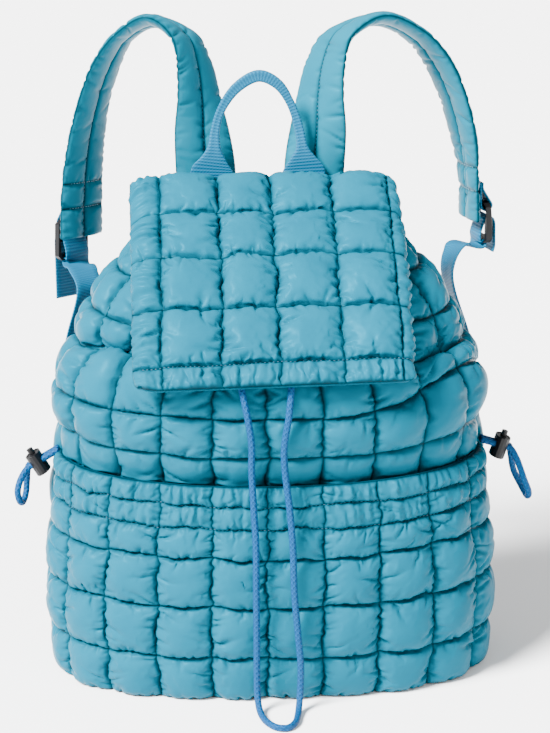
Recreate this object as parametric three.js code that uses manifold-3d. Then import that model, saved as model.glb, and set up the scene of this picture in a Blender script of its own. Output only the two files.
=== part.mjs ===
// Quilted puffer backpack: a padded tub gathered at the mouth, a quilted front pocket, a quilted
// flap over the mouth, two padded shoulder straps on webbing, a grab handle and three cords.
// Millimetres, +Z up, front of the bag towards -Y, origin at the middle of the base on the ground.

import * as THREE from 'three';
import { mergeVertices } from 'three/addons/utils/BufferGeometryUtils.js';
import Module from 'manifold-3d';

// Overall sizes of the bag, measured to the stitched seams and not to the crowns of the pillows.
const BODY_WIDTH = 330;
const BODY_HEIGHT = 350;
const FRONT_REACH = 92;
const BACK_REACH = 62;

// Padding: the cloth between pillows, how far a full pillow stands out, and the gap between pieces.
const WALL = 3;
const PUFF = 8.5;
const GAP = 0.3;

// Quilting: cells round the bag, where along a cell its pillow is already full, and how far the
// front seam lies off the middle, in cells.
const COLUMNS = 20;
const SHOULDER = 0.3;
const FRONT_SEAM_SHIFT = -0.17;

const BASE_PAD_THICKNESS = 6;

const POCKET_SLACK = 10;
const POCKET_TOP = 4.4;

const CASING_THICKNESS = 5.4;
const CASING_HEIGHT = 13;
const CASING_PLEAT = 1.4;
const CASING_LIFT = 0.95;

const FLAP_WIDTH = 200;
const FLAP_SHIFT = -3.5;
const FLAP_SKEW = 5;
const FLAP_CREST = 21;
const FLAP_FALL = 117;
const FLAP_STANDOFF = 11;
const FLAP_PUFF = 9;
const FLAP_ROLL_LEFT = 30;
const FLAP_ROLL_RIGHT = 115;
const FLAP_ROLL_LENGTH = 8;
const FLAP_CORNER = 10;
const FLAP_BAND_LEFT = 0.7;
const FLAP_BAND_RIGHT = 0.35;

const STRAP_WIDTH = 46;
const STRAP_THICKNESS = 10;
const STRAP_SPACING = 82;
const STRAP_SHIFT = -4;
const STRAP_ANCHOR_DROP = 32;
const STRAP_RISE = 159;
const STRAP_SETBACK = 54;
const STRAP_REACH_LEFT = 98;
const STRAP_REACH_RIGHT = 128;
const STRAP_STEPS = 22;

const WEBBING_WIDTH = 25;
const WEBBING_THICKNESS = 1.6;
const WEBBING_COLUMN = 6;
const WEBBING_SEAM = 0.5;

const BUCKLE_WIDTH = 33;
const BUCKLE_HEIGHT = 32;
const BUCKLE_THICKNESS = 4.5;
const BUCKLE_BAR = 4;
const BUCKLE_BEND = 2.4;
const BUCKLE_DROP = 3;
const LOOP_LENGTH = 18;
const TAIL_LENGTH_LEFT = 34;
const TAIL_LENGTH_RIGHT = 10;

const HANDLE_WIDTH = 32;
const HANDLE_THICKNESS = 2.2;
const HANDLE_RISE = 103;
const HANDLE_SPAN = 70;
const HANDLE_SHIFT = -6;
const HANDLE_ANCHOR_DROP = 12;
const HANDLE_LEAN = 7;
const HANDLE_STEPS = 26;

const CORD_DIAMETER = 5;
const CORD_SIDES = 8;
const DRAWCORD_STEPS = 54;
const SIDE_CORD_STEPS = 22;
const SIDE_CORD_STANDOFF = 1.2;
const CORD_EXIT_SEAM = 4.3;

const LOCK_WIDTH = 17;
const LOCK_DEPTH = 12;
const LOCK_LENGTH = 16.4;
const LOCK_WALL = 1.5;
const BUTTON_STROKE = 3;
const BUTTON_NUB = 5;

const COLOURS = {
  shell: 0x3fbcd3,
  strap: 0x37b2c8,
  webbing: 0x5d9fd0,
  cord: 0x2f86c4,
  plastic: 0x15161a,
};

// The flap's crown and its front follow the body, and so do the sewn ends of the straps and handle.
const FLAP_RISE = BODY_HEIGHT + FLAP_CREST;
const FLAP_FORWARD = FRONT_REACH + FLAP_STANDOFF;
const STRAP_ANCHOR_HEIGHT = BODY_HEIGHT - STRAP_ANCHOR_DROP;
const HANDLE_ANCHOR_HEIGHT = BODY_HEIGHT - HANDLE_ANCHOR_DROP;

const HALF_WIDTH = BODY_WIDTH / 2;
const QUARTER = COLUMNS / 4;
const CORD_RADIUS = CORD_DIAMETER / 2;

// Rows of a table with its columns named once.
function table(names, ...rows) {
  return rows.map((row) => Object.fromEntries(names.map((name, k) => [name, row[k]])));
}

// The seams round the bag, from the base to the mouth. Heights are shares of BODY_HEIGHT at the
// front, the side and the back; width is a share of the half width; lead and trail are shares of
// the front and back reach; centre is the depth of the widest place as a share of the back reach;
// round is the corner exponent of the front and back halves; puff is the share of a full pillow
// in the row that starts at this seam.
const LEVELS = table(
  ['front', 'side', 'back', 'width', 'lead', 'trail', 'centre', 'roundFront', 'roundBack', 'puff'],
  [0.003, 0.003, 0.003, 0.975, 0.85, 0.96, 0, 2.55, 3.2, 1],
  [0.103, 0.103, 0.106, 0.995, 0.93, 1, 0, 2.4, 3.3, 1],
  [0.223, 0.223, 0.223, 1, 0.97, 1, 0, 2.25, 3.3, 1],
  [0.333, 0.333, 0.338, 0.985, 0.99, 1, 0, 2.15, 3.3, 0.85],
  [0.449, 0.449, 0.451, 0.97, 0.98, 1, 0, 2.1, 3.3, 0.75],
  [0.551, 0.557, 0.566, 0.945, 0.93, 0.99, 0, 2.1, 3.2, 1],
  [0.637, 0.64, 0.663, 0.955, 0.95, 0.99, 0, 2.1, 3.1, 1],
  [0.72, 0.726, 0.749, 0.875, 0.86, 0.98, 0.06, 2.1, 3, 1],
  [0.786, 0.806, 0.829, 0.8, 0.64, 0.98, 0.16, 2.1, 2.9, 0.9],
  [0.849, 0.883, 0.911, 0.68, 0.36, 0.97, 0.32, 2.1, 2.8, 0.75],
  [0.897, 0.946, 0.98, 0.53, 0.02, 0.96, 0.46, 2, 2.7, 0],
);
const TOP = LEVELS.length - 1;

// Hollows pressed into the upper body: where they lie in columns from the front and in seams from
// the base, how deep they are as a share of PUFF, and how far they spread.
const DENTS = [
  { column: 3.9, seam: 7.3, depth: 1.1, across: 0.7, along: 0.55 },
  { column: 3.1, seam: 6, depth: 0.55, across: 0.5, along: 0.35 },
  { column: -3.4, seam: 7.2, depth: 0.8, across: 1, along: 0.35 },
  { column: -4.2, seam: 5, depth: 0.4, across: 0.6, along: 0.3 },
  { column: 4.6, seam: 5.1, depth: 0.5, across: 0.6, along: 0.4 },
];

// Seams of the front pocket, counted on the seams of the body: three rows of cells, the tunnel of
// the side cord between two stitch lines, and the gathered hem. Puff is the share of a full pillow.
const POCKET_ROWS = [
  { seam: 0, puff: 1 },
  { seam: 1, puff: 1 },
  { seam: 2, puff: 1 },
  { seam: 3, puff: 0.8 },
  { seam: 3.58, puff: 0.55 },
  { seam: 4, puff: 0.6 },
  { seam: POCKET_TOP, puff: 0 },
];

// The flap from its sewn end on the back wall, over the top and down the front: forward is a share
// of FLAP_FORWARD, or of the tail's distance back where it is minus; drop is a share of FLAP_FALL
// below FLAP_RISE; puff is the row's share of a pillow.
const FLAP_ROWS = [
  { forward: -1, drop: 0.42, puff: 0 },
  { forward: -1, drop: 0.17, puff: 0 },
  { forward: -0.76, drop: 0.02, puff: 1 },
  { forward: -0.2, drop: 0.185, puff: 1 },
  { forward: 0.23, drop: 0.376, puff: 1 },
  { forward: 0.57, drop: 0.625, puff: 1 },
  { forward: 0.87, drop: 0.895, puff: 0.7 },
  { forward: 1, drop: 1, puff: 0 },
];
const FLAP_TAIL_ROW = 2;

// Seams across the flap as shares of its width from its left edge, with a narrow band at each side.
const FLAP_COLUMNS = [0, 0.112, 0.324, 0.529, 0.757, 0.965, 1].map((share) => ({ share }));

// A shoulder strap from its end on the back wall to its free end: out is a share of the side's
// reach, back a share of STRAP_SETBACK, up a share of STRAP_RISE over the anchor height, turn the
// way the width faces in degrees from +X, own the share of the side's own extra turn and lift, and
// dip how far its back edge hangs in degrees.
const STRAP_ROUTE = [
  { out: 0, back: 0, up: 0, turn: 0, own: 0, dip: 0 },
  { out: 0, back: 0.01, up: 0.16, turn: 0, own: 0, dip: 0 },
  { out: 0.005, back: 0.08, up: 0.32, turn: 6, own: 0, dip: 0 },
  { out: 0.03, back: 0.2, up: 0.5, turn: 25, own: 0, dip: 0 },
  { out: 0.045, back: 0.32, up: 0.64, turn: 44, own: 0, dip: 0 },
  { out: 0.08, back: 0.46, up: 0.8, turn: 56, own: 0, dip: 0 },
  { out: 0.155, back: 0.56, up: 0.925, turn: 66, own: 0, dip: 6 },
  { out: 0.4, back: 0.72, up: 1, turn: 80, own: 0, dip: 15 },
  { out: 0.62, back: 0.85, up: 0.925, turn: 72, own: 0, dip: 10 },
  { out: 0.77, back: 0.93, up: 0.78, turn: 63, own: 0.15, dip: 5 },
  { out: 0.885, back: 0.98, up: 0.575, turn: 60, own: 0.3, dip: 0 },
  { out: 0.96, back: 1, up: 0.34, turn: 57, own: 0.65, dip: 0 },
  { out: 0.99, back: 0.98, up: 0.14, turn: 56, own: 0.97, dip: 0 },
  { out: 1, back: 0.94, up: -0.055, turn: 56, own: 1, dip: 0 },
];

// The grab handle: across is a share of half its span, up a share of its rise, width a share of
// the webbing's width where it is folded narrow, and thick the folded layers.
const HANDLE_ROUTE = [
  { across: -1, up: 0, width: 1, thick: 1 },
  { across: -1, up: 0.15, width: 1, thick: 1 },
  { across: -1, up: 0.31, width: 1, thick: 1 },
  { across: -0.97, up: 0.4, width: 0.6, thick: 1.5 },
  { across: -0.95, up: 0.48, width: 0.32, thick: 2.2 },
  { across: -0.92, up: 0.6, width: 0.3, thick: 2.3 },
  { across: -0.8, up: 0.74, width: 0.3, thick: 2.3 },
  { across: -0.46, up: 0.91, width: 0.3, thick: 2.3 },
  { across: 0.03, up: 1, width: 0.3, thick: 2.3 },
  { across: 0.43, up: 0.94, width: 0.3, thick: 2.3 },
  { across: 0.71, up: 0.8, width: 0.3, thick: 2.3 },
  { across: 0.89, up: 0.62, width: 0.3, thick: 2.3 },
  { across: 0.96, up: 0.48, width: 0.32, thick: 2.2 },
  { across: 0.98, up: 0.4, width: 0.6, thick: 1.5 },
  { across: 1, up: 0.31, width: 1, thick: 1 },
  { across: 1, up: 0.15, width: 1, thick: 1 },
  { across: 1, up: 0, width: 1, thick: 1 },
];

// The drawcord's route, chosen by hand: out of the left hole of the mouth, down the front, round
// on the ground and back up to the right hole.
const DRAWCORD_ROUTE = [
  [-24, 7.5, 319],
  [-24.4, -8, 317.8],
  [-25.1, -22, 312.5],
  [-26, -44, 296],
  [-26.5, -72, 273],
  [-26, -92, 252],
  [-22, -99, 232],
  [-18.7, -99.5, 209],
  [-18.8, -99.5, 190],
  [-17.5, -101, 163],
  [-16, -103, 135],
  [-15.8, -103.5, 100],
  [-15.4, -102, 60],
  [-15.3, -100.5, 30],
  [-15, -101, 15],
  [-14, -106, 5.5],
  [-12, -115, 2.6],
  [-8.5, -125, 2.6],
  [-2, -133, 2.6],
  [5.5, -134, 2.6],
  [11.5, -126, 2.6],
  [14, -115, 2.6],
  [15.5, -106, 5.5],
  [16.7, -101, 16],
  [17, -101, 36],
  [14.8, -102.5, 62],
  [12, -103.5, 95],
  [10.8, -103, 130],
  [8.5, -101, 160],
  [5.2, -99.5, 188],
  [4.6, -99.5, 206],
  [8.2, -99, 232],
  [10, -92, 252],
  [10.5, -72, 273],
  [11, -44, 296],
  [10.7, -22, 312.5],
  [10.3, -8, 317.8],
  [10, 7.5, 319],
];

// What differs between the sides: the strap's reach, its own turn and lift at the free end, and the
// webbing's loose tail. lock is the middle of the cord lock, lean the way its button points in
// degrees from upright, and loop the cord below it, chosen by hand. web is the webbing between the
// body and the buckle: out is a share of the half width, back of the back reach, up of the height.
const SIDES = [
  {
    name: 'left',
    sign: -1,
    reach: STRAP_REACH_LEFT,
    twist: -9,
    lift: -4,
    tail: TAIL_LENGTH_LEFT,
    lean: 31,
    lock: [176.5, 0, 163],
    loop: [
      [188, -6, 153],
      [191.5, -9.5, 143],
      [190.5, -7.5, 134],
      [188.5, 0, 130],
      [186.5, 7.5, 134],
      [185.5, 9.5, 143],
      [184.5, 6, 153],
    ],
    web: [
      { out: 0.897, back: 1.097, up: 0.257 },
      { out: 0.909, back: 1.129, up: 0.457 },
      { out: 0.891, back: 1.194, up: 0.663 },
      { out: 0.83, back: 1.355, up: 0.78 },
      { out: 0.861, back: 1.677, up: 0.81 },
    ],
  },
  {
    name: 'right',
    sign: 1,
    reach: STRAP_REACH_RIGHT,
    twist: 24,
    lift: 7,
    tail: TAIL_LENGTH_RIGHT,
    lean: 18,
    lock: [175.5, 0, 170],
    loop: [
      [187.5, -5.5, 160],
      [193, -9.5, 145],
      [197.5, -7.5, 133],
      [197.5, 0, 127.5],
      [194, 7.5, 133],
      [188, 9.5, 145],
      [184.5, 5.5, 160],
    ],
    web: [
      { out: 0.945, back: 1.032, up: 0.257 },
      { out: 0.97, back: 1.032, up: 0.471 },
      { out: 0.945, back: 1.129, up: 0.663 },
      { out: 0.87, back: 1.355, up: 0.806 },
      { out: 0.927, back: 1.71, up: 0.851 },
    ],
  },
];

const wasm = await Module();
wasm.setup();

const smooth = (t) => {
  const s = Math.min(1, Math.max(0, t));
  return s * s * (3 - 2 * s);
};

const radians = THREE.MathUtils.degToRad;

// A value between the rows of a table, through four neighbours, so that it runs on without a kink.
function between(rows, key, place) {
  const last = rows.length - 1;
  const i = Math.min(last - 1, Math.max(0, Math.floor(place)));
  const t = place - i;
  const row = (k) => rows[Math.min(last, Math.max(0, k))][key];
  const slopeIn = (row(i + 1) - row(i - 1)) / 2;
  const slopeOut = (row(i + 2) - row(i)) / 2;
  const t2 = t * t;
  const t3 = t2 * t;
  return row(i) * (2 * t3 - 3 * t2 + 1) + slopeIn * (t3 - 2 * t2 + t)
    + row(i + 1) * (3 * t2 - 2 * t3) + slopeOut * (t3 - t2);
}

// How full a pillow is at a place counted in cells: flat at the seams, round between them.
function pillow(place) {
  const t = place - Math.floor(place);
  return Math.sqrt(4 * t * (1 - t));
}

// One closed body from a list of closed polygons with equal numbers of points. The polygons wrap
// round on themselves, or the two end polygons are closed by a fan about their middle or by a
// strip between their two halves.
function skin(rings, { wrap = false, cap = 'fan' } = {}) {
  const size = rings[0].length;
  const points = rings.flat();
  const index = [];
  const at = (i, j) => (i % rings.length) * size + (j % size);
  const spans = wrap ? rings.length : rings.length - 1;
  for (let i = 0; i < spans; i += 1) {
    for (let j = 0; j < size; j += 1) {
      index.push(at(i, j), at(i + 1, j), at(i + 1, j + 1));
      index.push(at(i, j), at(i + 1, j + 1), at(i, j + 1));
    }
  }
  if (!wrap && cap === 'strip') {
    for (let j = 0; j < size / 2 - 1; j += 1) {
      const k = size - 1 - j;
      const end = spans;
      index.push(at(0, j), at(0, j + 1), at(0, k - 1), at(0, j), at(0, k - 1), at(0, k));
      index.push(at(end, j), at(end, k), at(end, k - 1), at(end, j), at(end, k - 1), at(end, j + 1));
    }
  }
  if (!wrap && cap === 'fan') {
    for (const end of [0, spans]) {
      const middle = new THREE.Vector3();
      rings[end].forEach((p) => middle.addScaledVector(p, 1 / size));
      const hub = points.push(middle) - 1;
      for (let j = 0; j < size; j += 1) {
        if (end === 0) index.push(hub, at(0, j), at(0, j + 1));
        else index.push(hub, at(end, j + 1), at(end, j));
      }
    }
  }
  const geometry = new THREE.BufferGeometry();
  const places = points.flatMap((p) => p.toArray());
  geometry.setAttribute('position', new THREE.Float32BufferAttribute(places, 3));
  geometry.setIndex(volume(points, index) < 0 ? index.reverse() : index);
  return geometry;
}

function volume(points, index) {
  let sum = 0;
  const cross = new THREE.Vector3();
  for (let k = 0; k < index.length; k += 3) {
    sum += points[index[k]].dot(cross.crossVectors(points[index[k + 1]], points[index[k + 2]]));
  }
  return sum;
}

function toSolid(geometry) {
  const bare = geometry.clone();
  bare.deleteAttribute('normal');
  bare.deleteAttribute('uv');
  const merged = mergeVertices(bare);
  return new wasm.Manifold(new wasm.Mesh({
    numProp: 3,
    vertProperties: new Float32Array(merged.attributes.position.array),
    triVerts: new Uint32Array(merged.index.array),
  }));
}

function toGeometry(solid) {
  const mesh = solid.getMesh();
  const geometry = new THREE.BufferGeometry();
  geometry.setAttribute('position', new THREE.BufferAttribute(new Float32Array(mesh.vertProperties), 3));
  geometry.setIndex(new THREE.BufferAttribute(new Uint32Array(mesh.triVerts), 1));
  return geometry;
}

// The direction on a quarter of a rounded outline, from straight ahead to straight aside, that
// lies a given share of the quarter's length along it.
function quarterPoint(width, depth, round, share) {
  const steps = 40;
  const place = (k) => {
    const angle = (k / steps) * (Math.PI / 2);
    const aside = Math.sin(angle);
    const ahead = Math.cos(angle);
    const size = (aside ** round + ahead ** round) ** (-1 / round);
    return [aside * size, ahead * size];
  };
  const lengths = [0];
  let last = place(0);
  for (let k = 1; k <= steps; k += 1) {
    const next = place(k);
    lengths.push(lengths[k - 1] + Math.hypot(width * (next[0] - last[0]), depth * (next[1] - last[1])));
    last = next;
  }
  const wanted = share * lengths[steps];
  let k = 1;
  while (k < steps && lengths[k] < wanted) k += 1;
  const t = (wanted - lengths[k - 1]) / (lengths[k] - lengths[k - 1]);
  return place(k - 1 + t);
}

function wrappedColumn(column) {
  return column - COLUMNS * Math.round(column / COLUMNS);
}

// Seams drawn off their level where the cloth is gathered: how far along the rows at one place.
const SEAM_DRIFTS = [
  { column: 4, seam: 6, drift: 0.7, across: 1.3, along: 0.62 },
  { column: -3.2, seam: 7, drift: 0.4, across: 1.2, along: 0.6 },
];

function driftedSeam(column, seam) {
  return SEAM_DRIFTS.reduce((place, entry) => {
    const across = (column - entry.column) / entry.across;
    const along = (seam - entry.seam) / entry.along;
    return place + entry.drift * Math.exp(-across * across - along * along);
  }, seam);
}

// The plain form of the bag: column counts the cells from the front seam, plus to the right, and
// seam counts the rows from the base.
function plainPoint(column, level) {
  const even = wrappedColumn(column);
  const seam = driftedSeam(even, level);
  const bow = Math.max(0, 1 - (even / QUARTER) ** 2);
  const wrapped = even + FRONT_SEAM_SHIFT * bow;
  const side = wrapped < 0 ? -1 : 1;
  const turn = Math.abs(wrapped);
  const front = turn <= QUARTER;
  const share = front ? turn / QUARTER : (2 * QUARTER - turn) / QUARTER;
  const width = HALF_WIDTH * between(LEVELS, 'width', seam);
  const centre = BACK_REACH * between(LEVELS, 'centre', seam);
  const lead = FRONT_REACH * between(LEVELS, 'lead', seam) + centre;
  const trail = BACK_REACH * between(LEVELS, 'trail', seam) - centre;
  const depth = front ? lead : trail;
  const round = between(LEVELS, front ? 'roundFront' : 'roundBack', seam);
  const [aside, ahead] = quarterPoint(width, depth, round, share);
  const sideHeight = between(LEVELS, 'side', seam);
  const endHeight = between(LEVELS, front ? 'front' : 'back', seam);
  return new THREE.Vector3(
    side * width * aside,
    centre + (front ? -depth : depth) * ahead,
    BODY_HEIGHT * (sideHeight + (endHeight - sideHeight) * ahead * ahead),
  );
}

// The outward direction of the plain form.
function plainNormal(column, seam) {
  const step = 0.06;
  const low = Math.max(0, seam - step);
  const high = Math.min(TOP, seam + step);
  const along = plainPoint(column + step, seam).sub(plainPoint(column - step, seam));
  const up = plainPoint(column, high).sub(plainPoint(column, low));
  return along.cross(up).normalize();
}

function dentAt(column, seam) {
  return DENTS.reduce((sum, dent) => {
    const across = (column - dent.column) / dent.across;
    const along = (seam - dent.seam) / dent.along;
    return sum + PUFF * dent.depth * Math.exp(-across * across - along * along);
  }, 0);
}

// How far the body stands back behind the front pocket: the pocket's wall and gap, and a hollow
// that opens towards the pocket's mouth.
function pocketInset(column, seam) {
  const edge = 1 - smooth((Math.abs(column) - QUARTER) / SHOULDER);
  const head = 1 - smooth((seam - POCKET_TOP) / (Math.ceil(POCKET_TOP) - POCKET_TOP));
  const spread = Math.sqrt(Math.max(0, Math.cos((Math.PI / 2) * (column / QUARTER))));
  const depth = POCKET_SLACK * spread * Math.sqrt(Math.min(1, seam / POCKET_TOP));
  const hollow = Math.abs(column) < QUARTER ? depth : 0;
  return (WALL + GAP + hollow) * edge * head;
}

function behindPocket(column, seam) {
  return Math.abs(column) <= QUARTER && seam <= POCKET_TOP;
}

// Pillows of the body: none behind the pocket, and pressed low under the flap and on the back top.
function bodyPuff(column, seam) {
  if (behindPocket(column, seam) || seam >= TOP) return 0;
  const row = PUFF * LEVELS[Math.floor(seam)].puff;
  const underFlap = smooth((3 - Math.abs(column)) / 1) * smooth((seam - 6.9) / 1);
  const backTop = smooth((Math.abs(column) - 6.5) / 1) * smooth((seam - 6.9) / 1);
  return row * pillow(column) * pillow(seam) * (1 - 0.65 * underFlap) * (1 - 0.6 * backTop);
}

function bodySurface(column, seam, offset) {
  const turn = wrappedColumn(column);
  const inward = pocketInset(turn, seam) + dentAt(turn, seam) - offset;
  return plainPoint(turn, seam).addScaledVector(plainNormal(turn, seam), -inward);
}

// Places along a stretch of cells: each seam, and the shoulders of the pillow after it.
function cellPlaces(first, last, inner) {
  const places = [];
  for (let cell = first; cell < last; cell += 1) {
    places.push(cell, ...inner.map((share) => cell + share));
  }
  return places;
}

const ACROSS = [SHOULDER, 1 - SHOULDER];
const UP = [0.5];

function makeBody() {
  const pocketRow = Math.floor(POCKET_TOP);
  const outer = [...cellPlaces(0, TOP, UP), TOP]
    .map((seam) => (seam > pocketRow && seam < pocketRow + 1 ? POCKET_TOP : seam));
  const inner = [TOP, 8, 6, POCKET_TOP, 2, 1, 0];
  const rings = cellPlaces(-COLUMNS / 2, COLUMNS / 2, ACROSS).map((column) => [
    ...outer.map((seam) => bodySurface(column, seam, bodyPuff(wrappedColumn(column), seam))),
    ...inner.map((seam) => bodySurface(column, seam, -WALL)),
  ]);
  return skin(rings, { wrap: true });
}

// The oval pad that closes the bottom, flat on the ground, inside the lowest ring of the body.
function makeBasePad() {
  const rim = cellPlaces(-COLUMNS / 2, COLUMNS / 2, ACROSS)
    .map((column) => bodySurface(column, 0, -WALL - GAP));
  const heights = [0, BASE_PAD_THICKNESS];
  return skin(heights.map((height) => rim.map((p) => new THREE.Vector3(p.x, p.y, height))));
}

function pocketPuff(column, seam) {
  const row = [...POCKET_ROWS].reverse().find((entry) => entry.seam <= seam);
  const next = POCKET_ROWS[POCKET_ROWS.indexOf(row) + 1];
  if (!next) return 0;
  const place = (seam - row.seam) / (next.seam - row.seam);
  return PUFF * row.puff * pillow(column) * pillow(place);
}

function makePocket() {
  const seams = POCKET_ROWS.flatMap((row, k) => {
    const next = POCKET_ROWS[k + 1];
    return next ? [row.seam, (row.seam + next.seam) / 2] : [row.seam];
  });
  const surface = (column, seam, offset) => (
    plainPoint(column, seam).addScaledVector(plainNormal(column, seam), offset)
  );
  const rings = [...cellPlaces(-QUARTER, QUARTER, ACROSS), QUARTER].map((column) => [
    ...seams.map((seam) => surface(column, seam, pocketPuff(column, seam))),
    ...[...seams].reverse().map((seam) => surface(column, seam, -WALL)),
  ]);
  return skin(rings, { cap: 'strip' });
}

// The hem round the mouth that the drawcord runs in, gathered into pleats, with two cord holes.
const CASING_PROFILE = [
  { out: -0.5, up: 0 },
  { out: 0.5, up: 0 },
  { out: 0.75, up: 0.5 },
  { out: 0.45, up: 1 },
  { out: -0.45, up: 1 },
  { out: -0.7, up: 0.5 },
];

function makeCasing() {
  const pleats = 2 * COLUMNS;
  const rings = Array.from({ length: pleats }, (_, k) => {
    const column = (k * COLUMNS) / pleats - COLUMNS / 2;
    const foot = bodySurface(column, TOP, -WALL / 2);
    const out = plainNormal(column, TOP);
    const up = foot.clone().sub(bodySurface(column, TOP - 0.3, -WALL / 2)).normalize();
    const pleat = k % 2 === 0 ? CASING_PLEAT : -CASING_PLEAT;
    return CASING_PROFILE.map((corner) => {
      const fold = corner.out > 0 && corner.up === 0.5 ? pleat : 0;
      return foot.clone()
        .addScaledVector(up, CASING_LIFT + CASING_HEIGHT * corner.up)
        .addScaledVector(out, CASING_THICKNESS * corner.out + fold);
    });
  });
  let solid = toSolid(skin(rings, { wrap: true }));
  for (const end of [DRAWCORD_ROUTE.slice(0, 2), DRAWCORD_ROUTE.slice(-2).reverse()]) {
    const [mouth, next] = end.map((p) => new THREE.Vector3(...p));
    const way = next.clone().sub(mouth).normalize();
    solid = solid.subtract(toSolid(tube([
      mouth.clone().addScaledVector(way, -GAP),
      mouth.clone().addScaledVector(way, 4 * CORD_DIAMETER),
    ], CORD_RADIUS + GAP, 1)));
  }
  return toGeometry(solid);
}

function tube(points, radius, steps) {
  const path = points.length === 2
    ? new THREE.LineCurve3(...points)
    : new THREE.CatmullRomCurve3(points, false, 'centripetal');
  const circle = new THREE.Shape();
  for (let k = 0; k < CORD_SIDES; k += 1) {
    const angle = ((k + 0.5) * 2 * Math.PI) / CORD_SIDES;
    const place = [radius * Math.cos(angle), radius * Math.sin(angle)];
    if (k === 0) circle.moveTo(...place);
    else circle.lineTo(...place);
  }
  circle.closePath();
  return new THREE.ExtrudeGeometry(circle, { steps, bevelEnabled: false, extrudePath: path });
}

// The row of the body that the flap's tail and the strap ends are sewn to stands this far back.
const BACK_FACE = Math.max(...cellPlaces(QUARTER + 3, 2 * QUARTER, ACROSS).flatMap((column) => (
  [8.5, 9, 9.5].map((seam) => bodySurface(column, seam, bodyPuff(column, seam)).y)
)));
const TAIL_PLANE = BACK_FACE + GAP + WALL;
const HANDLE_PLANE = TAIL_PLANE + GAP + HANDLE_THICKNESS / 2;
const STRAP_PLANE = HANDLE_PLANE + HANDLE_THICKNESS / 2 + GAP + STRAP_THICKNESS / 2;

// A place on the flap's seam surface: across counts its seams from the left edge, down counts its
// rows from the tail.
function flapPlain(across, down) {
  const forward = between(FLAP_ROWS, 'forward', down);
  const share = between(FLAP_COLUMNS, 'share', across);
  const y = Math.min(TAIL_PLANE, forward < 0 ? -forward * TAIL_PLANE : -forward * FLAP_FORWARD);
  const x = FLAP_SHIFT + FLAP_WIDTH * (share - 0.5);
  const loose = smooth((down - FLAP_TAIL_ROW) / (FLAP_ROWS.length - 1 - FLAP_TAIL_ROW));
  const drop = FLAP_FALL * between(FLAP_ROWS, 'drop', down) + FLAP_SKEW * loose * (0.5 - share);
  return new THREE.Vector3(x, y, FLAP_RISE - drop);
}

// The flap with its side bands turned down through the two roll angles, the right one under itself.
function flapSurface(across, down, offset) {
  const step = 0.05;
  const last = FLAP_ROWS.length - 1;
  const end = FLAP_COLUMNS.length - 1;
  const seam = Math.min(end - 1, Math.max(1, across));
  const low = Math.max(0, down - step);
  const high = Math.min(last, down + step);
  const along = flapPlain(seam, high).sub(flapPlain(seam, low));
  const out = new THREE.Vector3(1, 0, 0).cross(along).negate().normalize();
  const side = Math.sign(across - seam);
  const rest = Math.abs(across - seam);
  const loose = smooth((down - FLAP_TAIL_ROW) / 2);
  const flat = FLAP_WIDTH * (side > 0 ? 1 - FLAP_COLUMNS[end - 1].share : FLAP_COLUMNS[1].share);
  const length = rest * (flat + (side > 0 ? FLAP_ROLL_LENGTH * loose : 0));
  const turn = rest * loose * radians(side > 0 ? FLAP_ROLL_RIGHT : FLAP_ROLL_LEFT);
  const reach = turn > 0 ? (length * Math.sin(turn)) / turn : length;
  const fall = turn > 0 ? (length * (1 - Math.cos(turn))) / turn : 0;
  const point = flapPlain(seam, down).addScaledVector(out, offset * Math.cos(turn) - fall);
  const corner = FLAP_CORNER * Math.max(0, down - last + 1) ** 2 * rest ** 2;
  point.x += side * (reach + offset * Math.sin(turn)) + (side < 0 ? corner / 2 : 0);
  point.z += side < 0 ? corner / 2 : corner;
  return point;
}

function flapPuff(across, down) {
  const last = FLAP_ROWS.length - 1;
  const end = FLAP_COLUMNS.length - 1;
  const row = FLAP_ROWS[Math.min(last, Math.floor(down))].puff;
  let band = 1;
  if (across < 1) band = FLAP_BAND_LEFT;
  if (across > end - 1) band = FLAP_BAND_RIGHT;
  return FLAP_PUFF * row * band * pillow(across) * pillow(down);
}

function makeFlap() {
  const last = FLAP_ROWS.length - 1;
  const end = FLAP_COLUMNS.length - 1;
  const rows = [...Array.from({ length: last }, (_, k) => [k, k + 0.5]).flat(), last];
  const columns = [0, 0.5, ...cellPlaces(1, end - 1, ACROSS), end - 1, end - 0.5, end];
  const rings = columns.map((across) => [
    ...rows.map((down) => flapSurface(across, down, flapPuff(across, down))),
    ...[...rows].reverse().map((down) => flapSurface(across, down, -WALL)),
  ]);
  return skin(rings, { cap: 'strip' });
}

// A band swept along stations, each with its middle, the unit direction of its width and of its
// thickness, and its half width and half thickness; outline holds the section's corners in halves.
function band(stations, outline) {
  return skin(stations.map(({ middle, wide, thick, halfWidth, halfThick }) => outline.map(([u, v]) => (
    middle.clone().addScaledVector(wide, u * halfWidth).addScaledVector(thick, v * halfThick)
  ))));
}

const FLAT_SECTION = [[-1, -1], [1, -1], [1, 1], [-1, 1]];
const FOLDED_SECTION = [
  [-1, -0.5], [-0.6, -1], [0.6, -1], [1, -0.5], [1, 0.5], [0.6, 1], [-0.6, 1], [-1, 0.5],
];

// Two padded channels with the stitch line between them.
const STRAP_SECTION = [
  [-1, 0], [-0.72, 0.95], [-0.28, 0.95], [0, 0.45], [0.28, 0.95], [0.72, 0.95],
  [1, 0], [0.72, -0.95], [0.28, -0.95], [0, -0.45], [-0.28, -0.95], [-0.72, -0.95],
];

// Stations of a band along a smooth curve, with its width turned towards a wanted direction.
function stationsAlong(curve, places, wantedAt, sizeAt) {
  return places.map((place) => {
    const t = place / (places.length - 1);
    const middle = curve.getPoint(t);
    const way = curve.getTangent(t);
    const wanted = wantedAt(t);
    const wide = wanted.addScaledVector(way, -wanted.dot(way)).normalize();
    const thick = new THREE.Vector3().crossVectors(wide, way).normalize();
    return { middle, way, wide, thick, ...sizeAt(t) };
  });
}

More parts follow.
